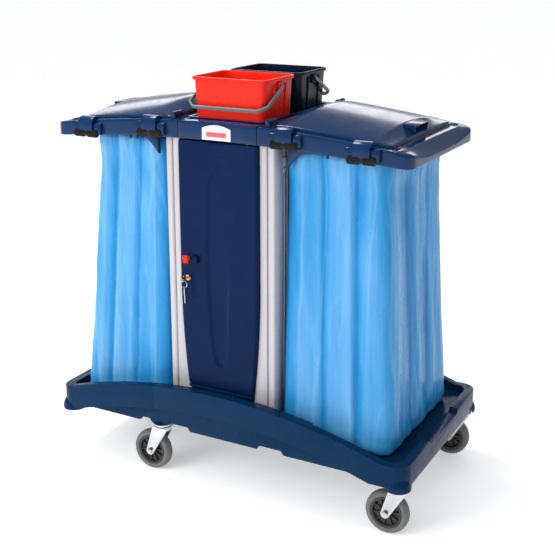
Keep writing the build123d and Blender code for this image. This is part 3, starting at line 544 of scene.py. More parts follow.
def hingeRail():
    # two raised beads that run across the frame beside the tray, and a fixed knuckle on a foot at each end
    f, h = frameSizes, hingeSizes
    r, length = f["beadRadius"], 2 * f["beadHalfLength"]
    bead = [(0, 0.0), (0.0006, 0.0014), (0.002, r),
            (length - 0.002, r), (length - 0.0006, 0.0014), (length, 0.0)]
    parts = [turned(bead, (midX + x, -f["beadHalfLength"], frameTop(x) + 0.0003), (0, 1, 0), 12)
             for x in f["beads"]]
    for side in (-1, 1):
        y0, y1 = sorted((side * h["fixed"], side * h["outer"]))
        parts.append(boxMesh((midX + h["x"] - h["radius"], y0, h["z"] - 0.019),
                             (midX + h["x"] + h["radius"], y1, h["z"] + 0.0005)))
        parts.append(turned(knuckleProfile(y1 - y0, 0.0, 0.0006), (midX + h["x"], y0, h["z"]), (0, 1, 0), 28))
    return joinMeshes("hingeRail", parts)


rightFrameMesh = joinMeshes("rightFrame", [frameRing(), hingeRail()])
for side, mesh in (("right", rightFrameMesh), ("left", mirrored(rightFrameMesh, "leftFrame"))):
    piece = addObject(side + "_frame", mesh)
    finishPiece(piece, navyPlastic, "cart", ("top_frame_" + side,), 40)
softCopy("top_frame_centre", navyPlastic, 0.0035, 3)
print("top frames made")


# lids: a long crown, a crease, a slope down to the outer edge, and a hooded tab

lidSizes = {
    "inner": 0.159, "crease": 0.457, "outer": 0.498, "halfDepth": 0.230, "rise": 0.042, "fall": 0.05,
    "gap": 0.0012, "wall": 0.003, "corner": 0.014, "shoulder": 0.0065, "start": 0.012,
    "tabStart": 0.020, "tabReach": 0.038, "tabHalfWidth": 0.051, "tabTop": 1.0905, "tabFall": 0.0045,
    "tabWall": 0.003,
}


def lidHeight(x, y):
    # height of the lid's skin over its plan
    s = lidSizes
    ease = min(1.0, max(0.0, (x - s["inner"]) / 0.070))
    crown = s["start"] + (s["rise"] - s["start"]) * (1 - (1 - ease) ** 2) - s["fall"] * max(0.0, x - 0.237)
    if x > s["crease"]:
        left = (1 - (x - s["crease"]) / (s["outer"] - s["crease"])) ** 1.35
        crown = crown * left + s["shoulder"] * (1 - left)
    bow = 1 - min(1.0, abs(y) / s["halfDepth"]) ** 2.3
    return frameTop(x) + s["shoulder"] + max(0.0, crown - s["shoulder"]) * bow


def lidShell():
    s = lidSizes
    inner, crease, outer, half, corner = s["inner"], s["crease"], s["outer"], s["halfDepth"], s["corner"]
    crownStart, slopeStart, slopeEnd = inner + 0.008, crease + 0.005, outer - 0.012
    xs = [inner, inner + 0.0008, inner + 0.003, crownStart]
    xs += [crownStart + (crease - 0.005 - crownStart) * k / 34 for k in range(1, 35)]
    xs += [crease - 0.0015, crease + 0.0015, slopeStart]
    xs += [slopeStart + (slopeEnd - slopeStart) * k / 5 for k in range(1, 6)]
    xs += [outer - 0.007, outer - 0.003, outer - 0.0008, outer]
    edgeInsets = [0.0, 0.0008, 0.003, 0.007, 0.013]
    ys = [inset - half for inset in edgeInsets]
    ys += [-half + 0.013 + (2 * half - 0.026) * k / 46 for k in range(1, 46)]
    ys += [half - inset for inset in reversed(edgeInsets)]
    drops = {0: 0.0062, 1: 0.0030, 2: 0.0009, 3: 0.0002}      # how the edge rounds over, row by row

    def bounded(x, y):
        # rounds the plan's four corners
        for cx, sx in ((inner + corner, -1), (outer - corner, 1)):
            for cy, sy in ((corner - half, -1), (half - corner, 1)):
                dx, dy = (x - cx) * sx, (y - cy) * sy
                if dx > 0 and dy > 0:
                    k = max(dx, dy) / sqrt(dx * dx + dy * dy)
                    return cx + (x - cx) * k, cy + (y - cy) * k
        return x, y

    points = []
    for i, x in enumerate(xs):
        for j, y in enumerate(ys):
            bx, by = bounded(x, y)
            fromEdge = min(i, len(xs) - 1 - i), min(j, len(ys) - 1 - j)
            drop = max(drops.get(step, 0.0) for step in fromEdge)
            points.append((midX + bx, by, lidHeight(x, y) - drop))
    faces = gridFaces(len(xs), len(ys))
    # the edge turns down to the frame
    border = gridBorder(len(xs), len(ys))
    foot = range(len(points), len(points) + len(border))
    points += [(points[k][0], points[k][1], frameTop(points[k][0] - midX) + s["gap"]) for k in border]
    mesh = outward(meshFrom("lidShell", points, faces + bandFaces(border, foot)))
    if sum(polygon.normal.z for polygon in mesh.polygons) < 0:
        mesh.flip_normals()
    shell = addObject("temporary", mesh)
    wall = shell.modifiers.new("wall", "SOLIDIFY")
    wall.thickness = s["wall"]
    wall.offset = -1
    return baked(shell)


def lidTab():
    # a hood over the crease: a top that falls outwards, side walls into the crown, open towards the end
    s = lidSizes
    x0, x1 = s["crease"] - s["tabStart"], s["crease"] + s["tabReach"]
    half, wall = s["tabHalfWidth"], s["tabWall"]
    top, low = s["tabTop"], s["tabTop"] - s["tabFall"]

    def foot(x):
        return lidHeight(x, 0) - 0.004

    def slab(y0, y1, outline):
        return prismMesh("tabSlab", *([(midX + x, y, z) for x, z in outline] for y in (y0, y1)))

    pieces = [slab(-half, half, [(x0, top - wall), (x1, low - wall), (x1, low), (x0, top)])]
    cheek = [(x0, foot(x0) - 0.002), (x1 - 0.010, foot(x1 - 0.010)), (x1 - 0.0035, foot(x1) + 0.002),
             (x1 - 0.0005, low - 0.0006), (x0, top - 0.0006)]
    for side in (-1, 1):
        pieces.append(slab(*sorted((side * half, side * (half - wall))), cheek))
    # the small latch block that shows under the hood
    pieces.append(boxMesh((midX + s["crease"] + 0.016, -half + 0.012, top - 0.034),
                          (midX + s["crease"] + 0.027, -half + 0.036, top - 0.021)))
    return softened(joinMeshes("tab", pieces), 0.0010)


def lidKnuckles():
    h = hingeSizes
    parts = []
    for side in (-1, 1):
        y0, y1 = sorted((side * h["inner"], side * h["middle"]))
        profile = knuckleProfile(y1 - y0, 0.003, 0.0007)
        parts.append(turned(profile, (midX + h["x"], y0, h["z"]), (0, 1, 0), 28))
        parts.append(boxMesh((midX + h["x"] + 0.001, y0, h["z"] - 0.0068),
                             (midX + lidSizes["inner"] + 0.004, y1, h["z"] - 0.0022)))
    return joinMeshes("knuckles", parts)


rightLidMesh = joinMeshes("rightLid", [lidShell(), lidTab(), lidKnuckles()])
for side, mesh in (("right", rightLidMesh), ("left", mirrored(rightLidMesh, "leftLid"))):
    lidNode = "lid_" + side
    finishPiece(addObject(side + "_lid", mesh), navyPlastic, lidNode, (lidNode,), 32)
print("lids made")


# platform, bumpers and locker

for node in ("main_platform", "left_platform"):
    softCopy(node, navyBase, 0.0045, 3, angle=40)
softCopy("corner_bumpers", navyBase, 0.0015, 2)

gussetSizes = {"reach": 0.064, "drop": 0.050, "foot": 0.004, "thick": 0.014, "hollow": 1.9, "steps": 14}


def gussetMesh():
    # a bracket under the frame with a hollow curve, one in each corner beside the locker
    s = gussetSizes
    low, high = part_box("gussets")
    x1 = high.x - midX
    x0 = x1 - s["reach"]
    outline = [(x0, frameUnder(x0) - s["drop"] - s["foot"])]
    for k in range(1, s["steps"] + 1):
        t = k / s["steps"]
        x = x0 + s["reach"] * t
        outline.append((x, frameUnder(x) - s["foot"] - s["drop"] * (1 - t) ** s["hollow"]))
    outline += [(x1, frameUnder(x1)), (x0, frameUnder(x0))]
    parts = []
    for sx in (-1, 1):
        for y0 in (low.y, high.y - s["thick"]):
            ends = ([(midX + sx * x, y, z) for x, z in outline] for y in (y0, y0 + s["thick"]))
            parts.append(softened(prismMesh("gusset", *ends), 0.002))
    return joinMeshes("gussets", parts)


finishPiece(addObject("gusset_set", gussetMesh()), navyPlastic, "cart", ("gussets",), 40)
for place in ("front_left", "front_right", "rear_left", "rear_right"):
    softCopy("column_" + place, greyProfile, 0.0016, 2)
for side in ("left", "right"):
    softCopy("side_panel_" + side, greyWithPaintedBagLight, 0.0010, 2)
softCopy("centre_tray", navyPlastic, 0.0010, 2)
print("base and locker made")


# door: one face with a long shallow dish in the shape of a leaf

doorSizes = {
    "front": -0.259, "skin": 0.011, "dish": 0.0062, "leafTip": 0.378, "leafTop": 0.985,
    "halfWidth": 0.126, "flareTop": 0.640, "flareRadius": 2.890, "rows": 150, "columns": 60,
}


def doorHalfWidth(z):
    # straight above, narrower below where the columns widen
    s = doorSizes
    drop = max(0.0, s["flareTop"] - z)
    return s["halfWidth"] - (s["flareRadius"] - sqrt(s["flareRadius"] ** 2 - drop ** 2))


def leafDepth(x, z):
    # 0 outside the leaf, 1 in its middle, with a firm left and lower edge and a soft right one
    s = doorSizes
    if z <= s["leafTip"] or z >= s["leafTop"]:
        return 0.0
    up = (z - s["leafTip"]) / (s["leafTop"] - s["leafTip"])
    centre = 0.004 - 0.008 * sin(pi * min(1.0, up * 1.1)) + 0.012 * up
    half = 0.033 + 0.013 * smoothStep(0.15, 0.6, up)
    half *= sqrt(1 - (1 - min(1.0, up / 0.17)) ** 2) * min(1.0, (1 - up) * 9) ** 0.5
    if half <= 0.0:
        return 0.0
    across = (x - centre) / half
    if abs(across) >= 1.0:
        return 0.0
    left = smoothStep(0.0, 0.34, 1 + across)
    right = smoothStep(0.0, 0.42, 1 - across)
    # higher up the right edge melts into the door's face
    melt = smoothStep(0.25, 0.55, up)
    right = right * (1 - melt) + max(0.0, (1 - across) / 2) * melt
    return left * right * (1.0 - 0.45 * smoothStep(0.5, 1.0, up))


def doorMesh():
    s = doorSizes
    low, high = doorBox
    front, back, tall = s["front"], high.y, high.z - low.z
    rowEase, columnEdge = 0.009, 0.937
    zs = [low.z + inset for inset in (0.0, 0.0015, 0.005, rowEase)]
    zs += [low.z + rowEase + (tall - 2 * rowEase) * k / s["rows"] for k in range(1, s["rows"])]
    zs += [high.z - inset for inset in (rowEase, 0.005, 0.0015, 0.0)]
    us = [-1.0, -0.997, -0.985, -0.965, -columnEdge]
    us += [-columnEdge + 2 * columnEdge * k / s["columns"] for k in range(1, s["columns"])]
    us += [columnEdge, 0.965, 0.985, 0.997, 1.0]
    edgeDrop = {0: 0.008, 1: 0.0052, 2: 0.0022, 3: 0.0005}      # rounding of the long edges
    rowDrop = {0: 0.003, 1: 0.0011, 2: 0.0003}                  # and of the top and bottom
    count, rows = len(us), len(zs)
    points = []
    for i, z in enumerate(zs):
        half = doorHalfWidth(z)
        for j, u in enumerate(us):
            x = u * half
            drop = edgeDrop.get(min(j, count - 1 - j), 0.0) + rowDrop.get(min(i, rows - 1 - i), 0.0)
            points.append((midX + x, front + max(drop, s["dish"] * leafDepth(x, z)), z))
    faces = gridFaces(rows, count)
    border = gridBorder(rows, count)
    total = len(border)
    rim, inset, floor = (range(len(points) + total * k, len(points) + total * (k + 1)) for k in range(3))
    # the edge runs back, a rim turns inwards, and the back is hollow
    edge = [points[k] for k in border]
    narrower, shorter = 0.86, (tall - 0.04) / tall
    hollow = [(midX + (x - midX) * narrower, low.z + 0.02 + (z - low.z) * shorter) for x, _, z in edge]
    points += [(x, back, z) for x, _, z in edge]
    points += [(x, back, z) for x, z in hollow]
    points += [(x, front + s["skin"], z) for x, z in hollow]
    faces += bandFaces(border, rim) + bandFaces(rim, inset) + bandFaces(inset, floor)
    faces.append(tuple(floor))
    return outward(meshFrom("door", points, faces))


def boxCentre(node):
    low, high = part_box(node)
    return (low + high) / 2


def fingerPull():
    # a small block beside the knob
    at, half = boxCentre("latch_knob"), 0.0105
    front = doorSizes["front"]
    block = boxMesh((at.x + 0.0165, front - 0.0115, at.z - half),
                    (at.x + 0.0345, front + 0.0005, at.z + half))
    return softened(block, 0.0035, 3)


door = addObject("door_leaf", joinMeshes("doorLeaf", [doorMesh(), fingerPull()]))
finishPiece(door, navyDoor, "door", ("door",), 50)
print("door made")


# buckets: tapered walls, a rolled lip with a skirt, ears with the bail's pins

bucketSizes = {
    "rim": 1.200, "base": 1.0378, "baseHalfX": 0.107, "baseHalfY": 0.083, "halfX": 0.115, "halfY": 0.089,
    "lip": 0.006, "skirt": 0.009, "wall": 0.0026, "corner": 0.020, "pivotZ": 1.176,
}


def bucketMesh(centreY):
    s = bucketSizes
    base, rim, lip = s["base"], s["rim"], s["lip"]

    def at(z):
        t = (z - base) / (rim - base)
        return [s[low] + (s[high] - s[low]) * t
                for low, high in (("baseHalfX", "halfX"), ("baseHalfY", "halfY"))]

    def section(z, grow):
        hx, hy = at(z)
        return (midX, centreY, z, hx + grow, hy + grow, max(0.006, s["corner"] + grow))

    def lipRing(z, out):
        return (midX, centreY, z, s["halfX"] + out, s["halfY"] + out, s["corner"] + out)

    sections = [section(base, -0.006), section(base + 0.0012, -0.0022), section(base + 0.005, -0.0003)]
    sections += [section(base + 0.008 + 0.130 * k / 8, 0.0) for k in range(9)]
    low = rim - s["skirt"]
    sections.append(section(low + 0.0052, 0.0))
    # under the skirt, round the lip and over into the inside
    outside = [(0.0062, 0.0018), (0.0060, 0.0036), (0.0008, 0.0038), (0.0, 0.0044), (0.0, 0.0054),
               (0.0008, lip), (0.0062, lip)]
    sections += [lipRing(low + rise, out) for rise, out in outside]
    over = [(0.0012, lip - 0.0007), (0.0, lip - 0.0022), (0.0, 0.0002), (0.0010, -0.0016), (0.0040, -0.0024)]
    sections += [lipRing(rim - fall, out) for fall, out in over]
    sections += [section(rim - 0.012 - 0.135 * k / 8, -s["wall"]) for k in range(9)]
    sections += [section(base + 0.006, -0.0050), section(base + 0.0035, -0.010)]
    parts = [loftSections(sections)]
    for side in (-1, 1):
        # an ear under the lip with its boss
        x0, x1 = sorted((side * (s["halfX"] - 0.006), side * (s["halfX"] + 0.0052)))
        parts.append(softened(boxMesh((midX + x0, centreY - 0.013, s["pivotZ"] - 0.013),
                                      (midX + x1, centreY + 0.013, rim - 0.011)), 0.0035, 3))
        # stiffening ribs down each end wall
        for offset in (-0.034, 0.034):
            foot = Vector((midX + side * (at(base + 0.02)[0] - 0.001), centreY + offset, base + 0.02))
            head = Vector((midX + side * (at(s["pivotZ"])[0] + 0.0032), centreY + offset, rim - 0.016))
            along = head - foot
            parts.append(turned([(0, 0.0), (0.0005, 0.0010), (0.003, 0.0018), (along.length - 0.002, 0.0022),
                                 (along.length, 0.0)], foot, along, 10))
    return joinMeshes("bucket", parts)


bailSizes = {
    "reach": 0.120, "hang": 29, "slant": 0.020, "inset": 0.0027, "halfWide": 0.0054, "halfThick": 0.0022,
    "pinStart": 0.1165, "notch": 0.0007, "notchPitch": 0.0095, "round": 24,
}


def bailMesh(centreY, forward):
    # a broad strap with short slanted corners, three ridges along it and shallow notches on its bar
    s = bailSizes
    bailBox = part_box("red_bail")
    reach, slant, hang, steps = s["reach"], s["slant"], radians(s["hang"]), s["round"]
    armX = (bailBox[1].x - bailBox[0].x) / 2 - s["inset"]
    down = Vector((0, forward * cos(hang), -sin(hang)))
    pivot = Vector((midX, centreY, bucketSizes["pivotZ"]))
    corner = [(armX, reach - slant - 0.004, 12), (armX - 0.0016, reach - slant + 0.0005, 28),
              (armX - slant + 0.0005, reach - 0.0016, 62), (armX - slant - 0.004, reach, 78)]
    path = [(armX, -0.004 + (reach - slant - 0.002) * k / 8, 0) for k in range(8)] + corner
    bar = [(armX - slant - 0.008, reach, 90)]
    bar += [((armX - slant - 0.014) * (1 - k / 24), reach, 90) for k in range(25)]
    half = path + bar
    full = half + [(-x, along, 180 - angle) for x, along, angle in reversed(half[:-1])]
    across = Vector((1, 0, 0)).cross(down).normalized()
    profile = []
    for k in range(steps):
        a = 2 * pi * k / steps
        cx, sx = cos(a), sin(a)
        wide = copysign(s["halfWide"] * abs(sx) ** 0.55, sx)
        ridge = 0.0006 * cos(wide / s["halfWide"] * 2.5 * pi) ** 2 if cx > 0.05 else 0.0
        profile.append((copysign(s["halfThick"] * abs(cx) ** 0.35, cx) + ridge, wide))
    points = []
    for x, along, angle in full:
        outDir = Vector((cos(radians(angle)), 0, 0)) + down * sin(radians(angle))
        base = pivot + Vector((x, 0, 0)) + down * along
        notched = along == reach and abs(x) < 0.085 and int(abs(x) / s["notchPitch"]) % 3 == 0
        for thick, wide in profile:
            cut = s["notch"] if notched and thick > 0 and abs(wide) < 0.004 else 0.0
            points.append(base + outDir * (thick - cut) + across * wide)
    faces = gridFaces(len(full), steps, closeColumns=True)
    faces.append(tuple(range(steps)))
    faces.append(tuple(reversed(range((len(full) - 1) * steps, len(full) * steps))))
    parts = [outward(meshFrom("strap", points, faces))]
    for side in (-1, 1):
        start = pivot + Vector((side * s["pinStart"], 0, 0))
        length = armX + 0.0026 - s["pinStart"]
        pin = [(0, 0.0), (0, 0.0026), (0.0004, 0.003), (length - 0.0062, 0.003), (length - 0.0056, 0.0060),
               (length - 0.0012, 0.0063), (length, 0.0050), (length, 0.0)]
        parts.append(turned(pin, start, (side, 0, 0), 20))
    return joinMeshes("bail", parts)


for colour, sign, stock, slotName in (("red", -1, redPlastic, "red_plastic"),
                                      ("navy", 1, navyBucketStock, "navy_gloss")):
    pailNode, bailNode = colour + "_bucket", colour + "_bail"
    centreY = boxCentre(pailNode).y
    finishPiece(addObject(colour + "_pail", bucketMesh(centreY)), stock, pailNode, (pailNode,), 36)
    handle = addObject(colour + "_handle", bailMesh(centreY, sign))
    finishPiece(handle, greyBail, bailNode, (bailNode,), 45)
print("buckets and bails made")


# tool clips: a strap over the fascia's edge, two bosses, and a ribbed rubber grip

clipSizes = {
    "straps": (0.434, 0.213), "halfWide": 0.024, "bossOffset": 0.0355, "bossHalf": 0.0125,
    "gripHalf": 0.039, "gripRadius": 0.0125, "gripOut": 0.0125, "gripDrop": 0.037,
    "ribs": 8, "ribPitch": 0.0040, "ribStarts": (-0.0360, 0.0080), "ribThickness": 0.0016,
}
fasciaY = -frameSizes["halfDepth"]


def clipPart(x, halfWide, outline, width, segments):
    # an outline in Y and Z given a width in X, with its edges rounded
    ends = ([(midX + x + side * halfWide, y, z) for y, z in outline] for side in (-1, 1))
    return softened(prismMesh("clipPart", *ends), width, segments, 24, 50)


def clipBracket(x):
    # x from the locker's middle; the strap hooks over the top of the fascia
    top = frameTop(x)
    grip = top - clipSizes["gripDrop"]
    strap = [(0.018, top + 0.0005), (0.014, top + 0.0085), (0.004, top + 0.0115), (-0.006, top + 0.0105),
             (-0.0145, top + 0.005), (-0.0180, top - 0.004), (-0.0185, grip + 0.006), (-0.0140, grip + 0.004),
             (-0.0125, top - 0.008), (-0.0080, top - 0.001), (-0.0005, top + 0.0015), (-0.0005, grip + 0.004),
             (0.0020, grip + 0.004), (0.004, top - 0.004)]
    boss = [(0.003, grip - 0.006), (0.003, grip + 0.031), (-0.006, grip + 0.031),
            (-0.0115, grip + 0.026), (-0.0130, grip + 0.016), (-0.0130, grip - 0.002)]
    strap, boss = ([(fasciaY + y, z) for y, z in outline] for outline in (strap, boss))
    parts = [clipPart(x, clipSizes["halfWide"], strap, 0.0018, 3)]
    for side in (-1, 1):
        parts.append(clipPart(x + side * clipSizes["bossOffset"], clipSizes["bossHalf"], boss, 0.0040, 4))
    return joinMeshes("bracket", parts)


def gripCore(x):
    s = clipSizes
    centre = (midX + x - s["gripHalf"], fasciaY - s["gripOut"], frameTop(x) - s["gripDrop"])
    r, length = s["gripRadius"], 2 * s["gripHalf"]
    waist = length / 2 - 0.0055
    profile = [(0, 0.0), (0, r * 0.60), (0.0010, r * 0.72), (0.003, r * 0.78), (waist - 0.001, r * 0.78),
               (waist, r * 0.66)]
    profile += [(length - along, radius) for along, radius in reversed(profile)]
    mesh = turned(profile, centre, (1, 0, 0), 30)
    for vert in mesh.vertices:      # flat against the fascia
        vert.co.y = min(vert.co.y, fasciaY - 0.0002)
    return mesh


def ribTree(material):
    # repeats a ring along X at even steps, centred, and gives it its material
    tree = bpy.data.node_groups.new("gripRibs", "GeometryNodeTree")
    face = tree.interface
    face.new_socket("Geometry", in_out="INPUT", socket_type="NodeSocketGeometry")
    for label, value, kind in (("Count", 7, "NodeSocketInt"), ("Pitch", 0.004, "NodeSocketFloat"),
                               ("Radius", 0.012, "NodeSocketFloat"), ("Thickness", 0.001, "NodeSocketFloat")):
        socket = face.new_socket(label, in_out="INPUT", socket_type=kind)
        socket.default_value = value
    face.new_socket("Geometry", in_out="OUTPUT", socket_type="NodeSocketGeometry")
    make = tree.nodes.new
    source, sink = make("NodeGroupInput"), make("NodeGroupOutput")
    line = make("GeometryNodeMeshLine")
    combine = make("ShaderNodeCombineXYZ")
    circle = make("GeometryNodeCurvePrimitiveCircle")
    circle.inputs["Resolution"].default_value = 28
    profile = make("GeometryNodeCurvePrimitiveCircle")
    profile.inputs["Resolution"].default_value = 8
    sweep = make("GeometryNodeCurveToMesh")
    turn = make("GeometryNodeTransform")
    turn.inputs["Rotation"].default_value = (0, pi / 2, 0)
    place = make("GeometryNodeInstanceOnPoints")
    onEach = make("GeometryNodeInstanceOnPoints")
    realize = make("GeometryNodeRealizeInstances")
    paint = make("GeometryNodeSetMaterial")
    paint.inputs["Material"].default_value = material
    link = tree.links.new
    link(source.outputs["Count"], line.inputs["Count"])
    link(source.outputs["Pitch"], combine.inputs["X"])
    link(combine.outputs["Vector"], line.inputs["Offset"])
    link(source.outputs["Radius"], circle.inputs["Radius"])
    link(source.outputs["Thickness"], profile.inputs["Radius"])
    link(circle.outputs["Curve"], sweep.inputs["Curve"])
    link(profile.outputs["Curve"], sweep.inputs["Profile Curve"])
    link(sweep.outputs["Mesh"], turn.inputs["Geometry"])
    link(line.outputs["Mesh"], place.inputs["Points"])
    link(turn.outputs["Geometry"], place.inputs["Instance"])
    link(source.outputs["Geometry"], onEach.inputs["Points"])
    link(place.outputs["Instances"], onEach.inputs["Instance"])
    link(onEach.outputs["Instances"], realize.inputs["Geometry"])
    link(realize.outputs["Geometry"], paint.inputs["Geometry"])
    link(paint.outputs["Geometry"], sink.inputs["Geometry"])
    return tree


def setInput(modifier, tree, label, value):
    for item in tree.interface.items_tree:
        if item.item_type == "SOCKET" and item.in_out == "INPUT" and item.name == label:
            modifier[item.identifier] = value


brackets, cores, ribStarts = [], [], []
for sign in (-1, 1):
    for x in clipSizes["straps"]:
        brackets.append(clipBracket(sign * x))
        cores.append(gripCore(sign * x))
        height = frameTop(x) - clipSizes["gripDrop"]
        ribStarts += [(midX + sign * x + start, fasciaY - clipSizes["gripOut"], height)
                      for start in clipSizes["ribStarts"]]
finishPiece(addObject("clip_straps", joinMeshes("clipStraps", brackets)), navyPlastic, "cart",
            ("clip_brackets",), 50)
ribs = addObject("clip_ribs", meshFrom("ribPoints", ribStarts, []))
ribNodes = ribTree(blackRubber)
ribModifier = ribs.modifiers.new("ribs", "NODES")
ribModifier.node_group = ribNodes
for label, value in (("Count", clipSizes["ribs"]), ("Pitch", clipSizes["ribPitch"]),
                     ("Radius", clipSizes["gripRadius"] * 0.80), ("Thickness", clipSizes["ribThickness"])):
    setInput(ribModifier, ribNodes, label, value)
finishPiece(ribs, blackRubber)
finishPiece(addObject("clip_cores", joinMeshes("clipCores", cores)), blackRubber, "cart",
            ("clip_grips",), 40)
print("tool clips made")


# castors: a rounded tread, a recessed hub with a ring of ribs, pressed forks

castorSizes = {"radius": 0.0625, "tread": 0.032, "hub": 0.046, "hubWidth": 0.035, "spokes": 10}


def tyreMesh(centre, axis):
    r, w, h = castorSizes["radius"], castorSizes["tread"] / 2, castorSizes["hub"]
    half = [(-w + 0.003, h), (-w + 0.0012, h + 0.0015), (-w, h + 0.006), (-w + 0.0006, r - 0.0075),
            (-w + 0.0030, r - 0.0032), (-w + 0.0070, r - 0.0010), (-w + 0.0110, r - 0.0002)]
    profile = half + [(0, r)] + [(-along, radius) for along, radius in reversed(half)]
    return turned(profile, centre, axis, 72, closed=True)


def hubMesh(centre, axis):
    h, w, wide = castorSizes["hub"], castorSizes["tread"] / 2, castorSizes["hubWidth"] / 2
    rim = [(-w + 0.0028, h - 0.0062), (-w + 0.0022, h - 0.0050), (-w + 0.0022, h - 0.0008), (-w + 0.003, h)]
    bore = [(0.0050, h - 0.0090), (0.0042, 0.0180), (0.0060, 0.0160), (wide - 0.001, 0.0148), (wide, 0.0138),
            (wide, 0.0052)]
    profile = rim + [(-along, radius) for along, radius in reversed(rim)]
    profile += bore + [(-along, radius) for along, radius in reversed(bore)]
    parts = [turned(profile, centre, axis, 60, closed=True)]
    axis, side, other = axisFrame(axis)
    for k in range(castorSizes["spokes"]):
        a = 2 * pi * k / castorSizes["spokes"]
        out = side * cos(a) + other * sin(a)
        tangent = axis.cross(out)
        for face in (-1, 1):
            corners = [Vector(centre) + axis * along * face + out * radius + tangent * half
                       for along in (0.0030, 0.0105)
                       for radius in (0.0160, h - 0.0075)
                       for half in (-0.0011, 0.0011)]
            spoke = [(0, 1, 3, 2), (4, 6, 7, 5), (0, 4, 5, 1), (2, 3, 7, 6), (0, 2, 6, 4), (1, 5, 7, 3)]
            parts.append(outward(meshFrom("spoke", corners, spoke)))
    return joinMeshes("hubJoined", parts)


for joint in frame["joints"]:
    if joint["name"].startswith("wheel_"):
        number = joint["name"].split("_")[1]
        centre, axis = joint["pos_m"], joint["axis"]
        tread = addObject("tread_" + number, tyreMesh(centre, axis))
        hub = addObject("hub_" + number, hubMesh(centre, axis))
        finishPiece(tread, greyTyre, "wheel_" + number, ("castor_tyre_" + number,), 50)
        finishPiece(hub, greyHub, "wheel_" + number, ("castor_hub_" + number,), 40)
        for part, width in (("fork", 0.0009), ("axle", 0.0006)):
            softCopy("castor_" + part + "_" + number, zinc, width, 2, "swivel_" + number)
softCopy("castor_heads", zinc, 0.0008, 2)
print("castors made")


# bags: a lofted film shell with long creases, gathered at the top and slumped at the foot

bagSizes = {
    "inner": 0.184, "bottom": 0.2012, "top": 1.024, "topHalfDepth": 0.205, "bottomHalfDepth": 0.236,
    "corner": 0.038, "wall": 0.0016, "rows": 84,
    "outer": {-1: (0.440, 0.515), 1: (0.478, 0.524)}, "seed": {-1: 11.7, 1: 3.1},
}


# long creases: place across a face at the top and at the foot, height in metres, reach to either side
frontCreases = [(0.20, 0.17, 0.0060, 0.020, 0.100), (0.395, 0.40, -0.0080, 0.012, 0.045),
                (0.47, 0.46, 0.0035, 0.030, 0.090), (0.655, 0.665, 0.0070, 0.100, 0.016),
                (0.725, 0.70, -0.0085, 0.018, 0.030), (0.86, 0.80, 0.0060, 0.050, 0.050)]
endCreases = [(0.16, 0.12, 0.0050, 0.05, 0.05), (0.34, 0.38, -0.0055, 0.020, 0.060),
              (0.52, 0.55, 0.0040, 0.080, 0.030),
              (0.70, 0.64, -0.0060, 0.040, 0.025), (0.86, 0.88, 0.0050, 0.060, 0.060)]


def creaseHeight(creases, across, up, wander):
    total = 0.0
    for high, low, height, before, after in creases:
        centre = low + (high - low) * up + wander
        away = across - centre
        reach = before if away < 0 else after
        total += height * exp(-abs(away) / reach)
    return total


def ridged(point, scale, rise, shift):
    x, y, z = point
    value = noise.noise(Vector((x * scale + shift, y * scale - shift, z * rise + shift * 0.7)))
    return 1.0 - 2.4 * abs(value)


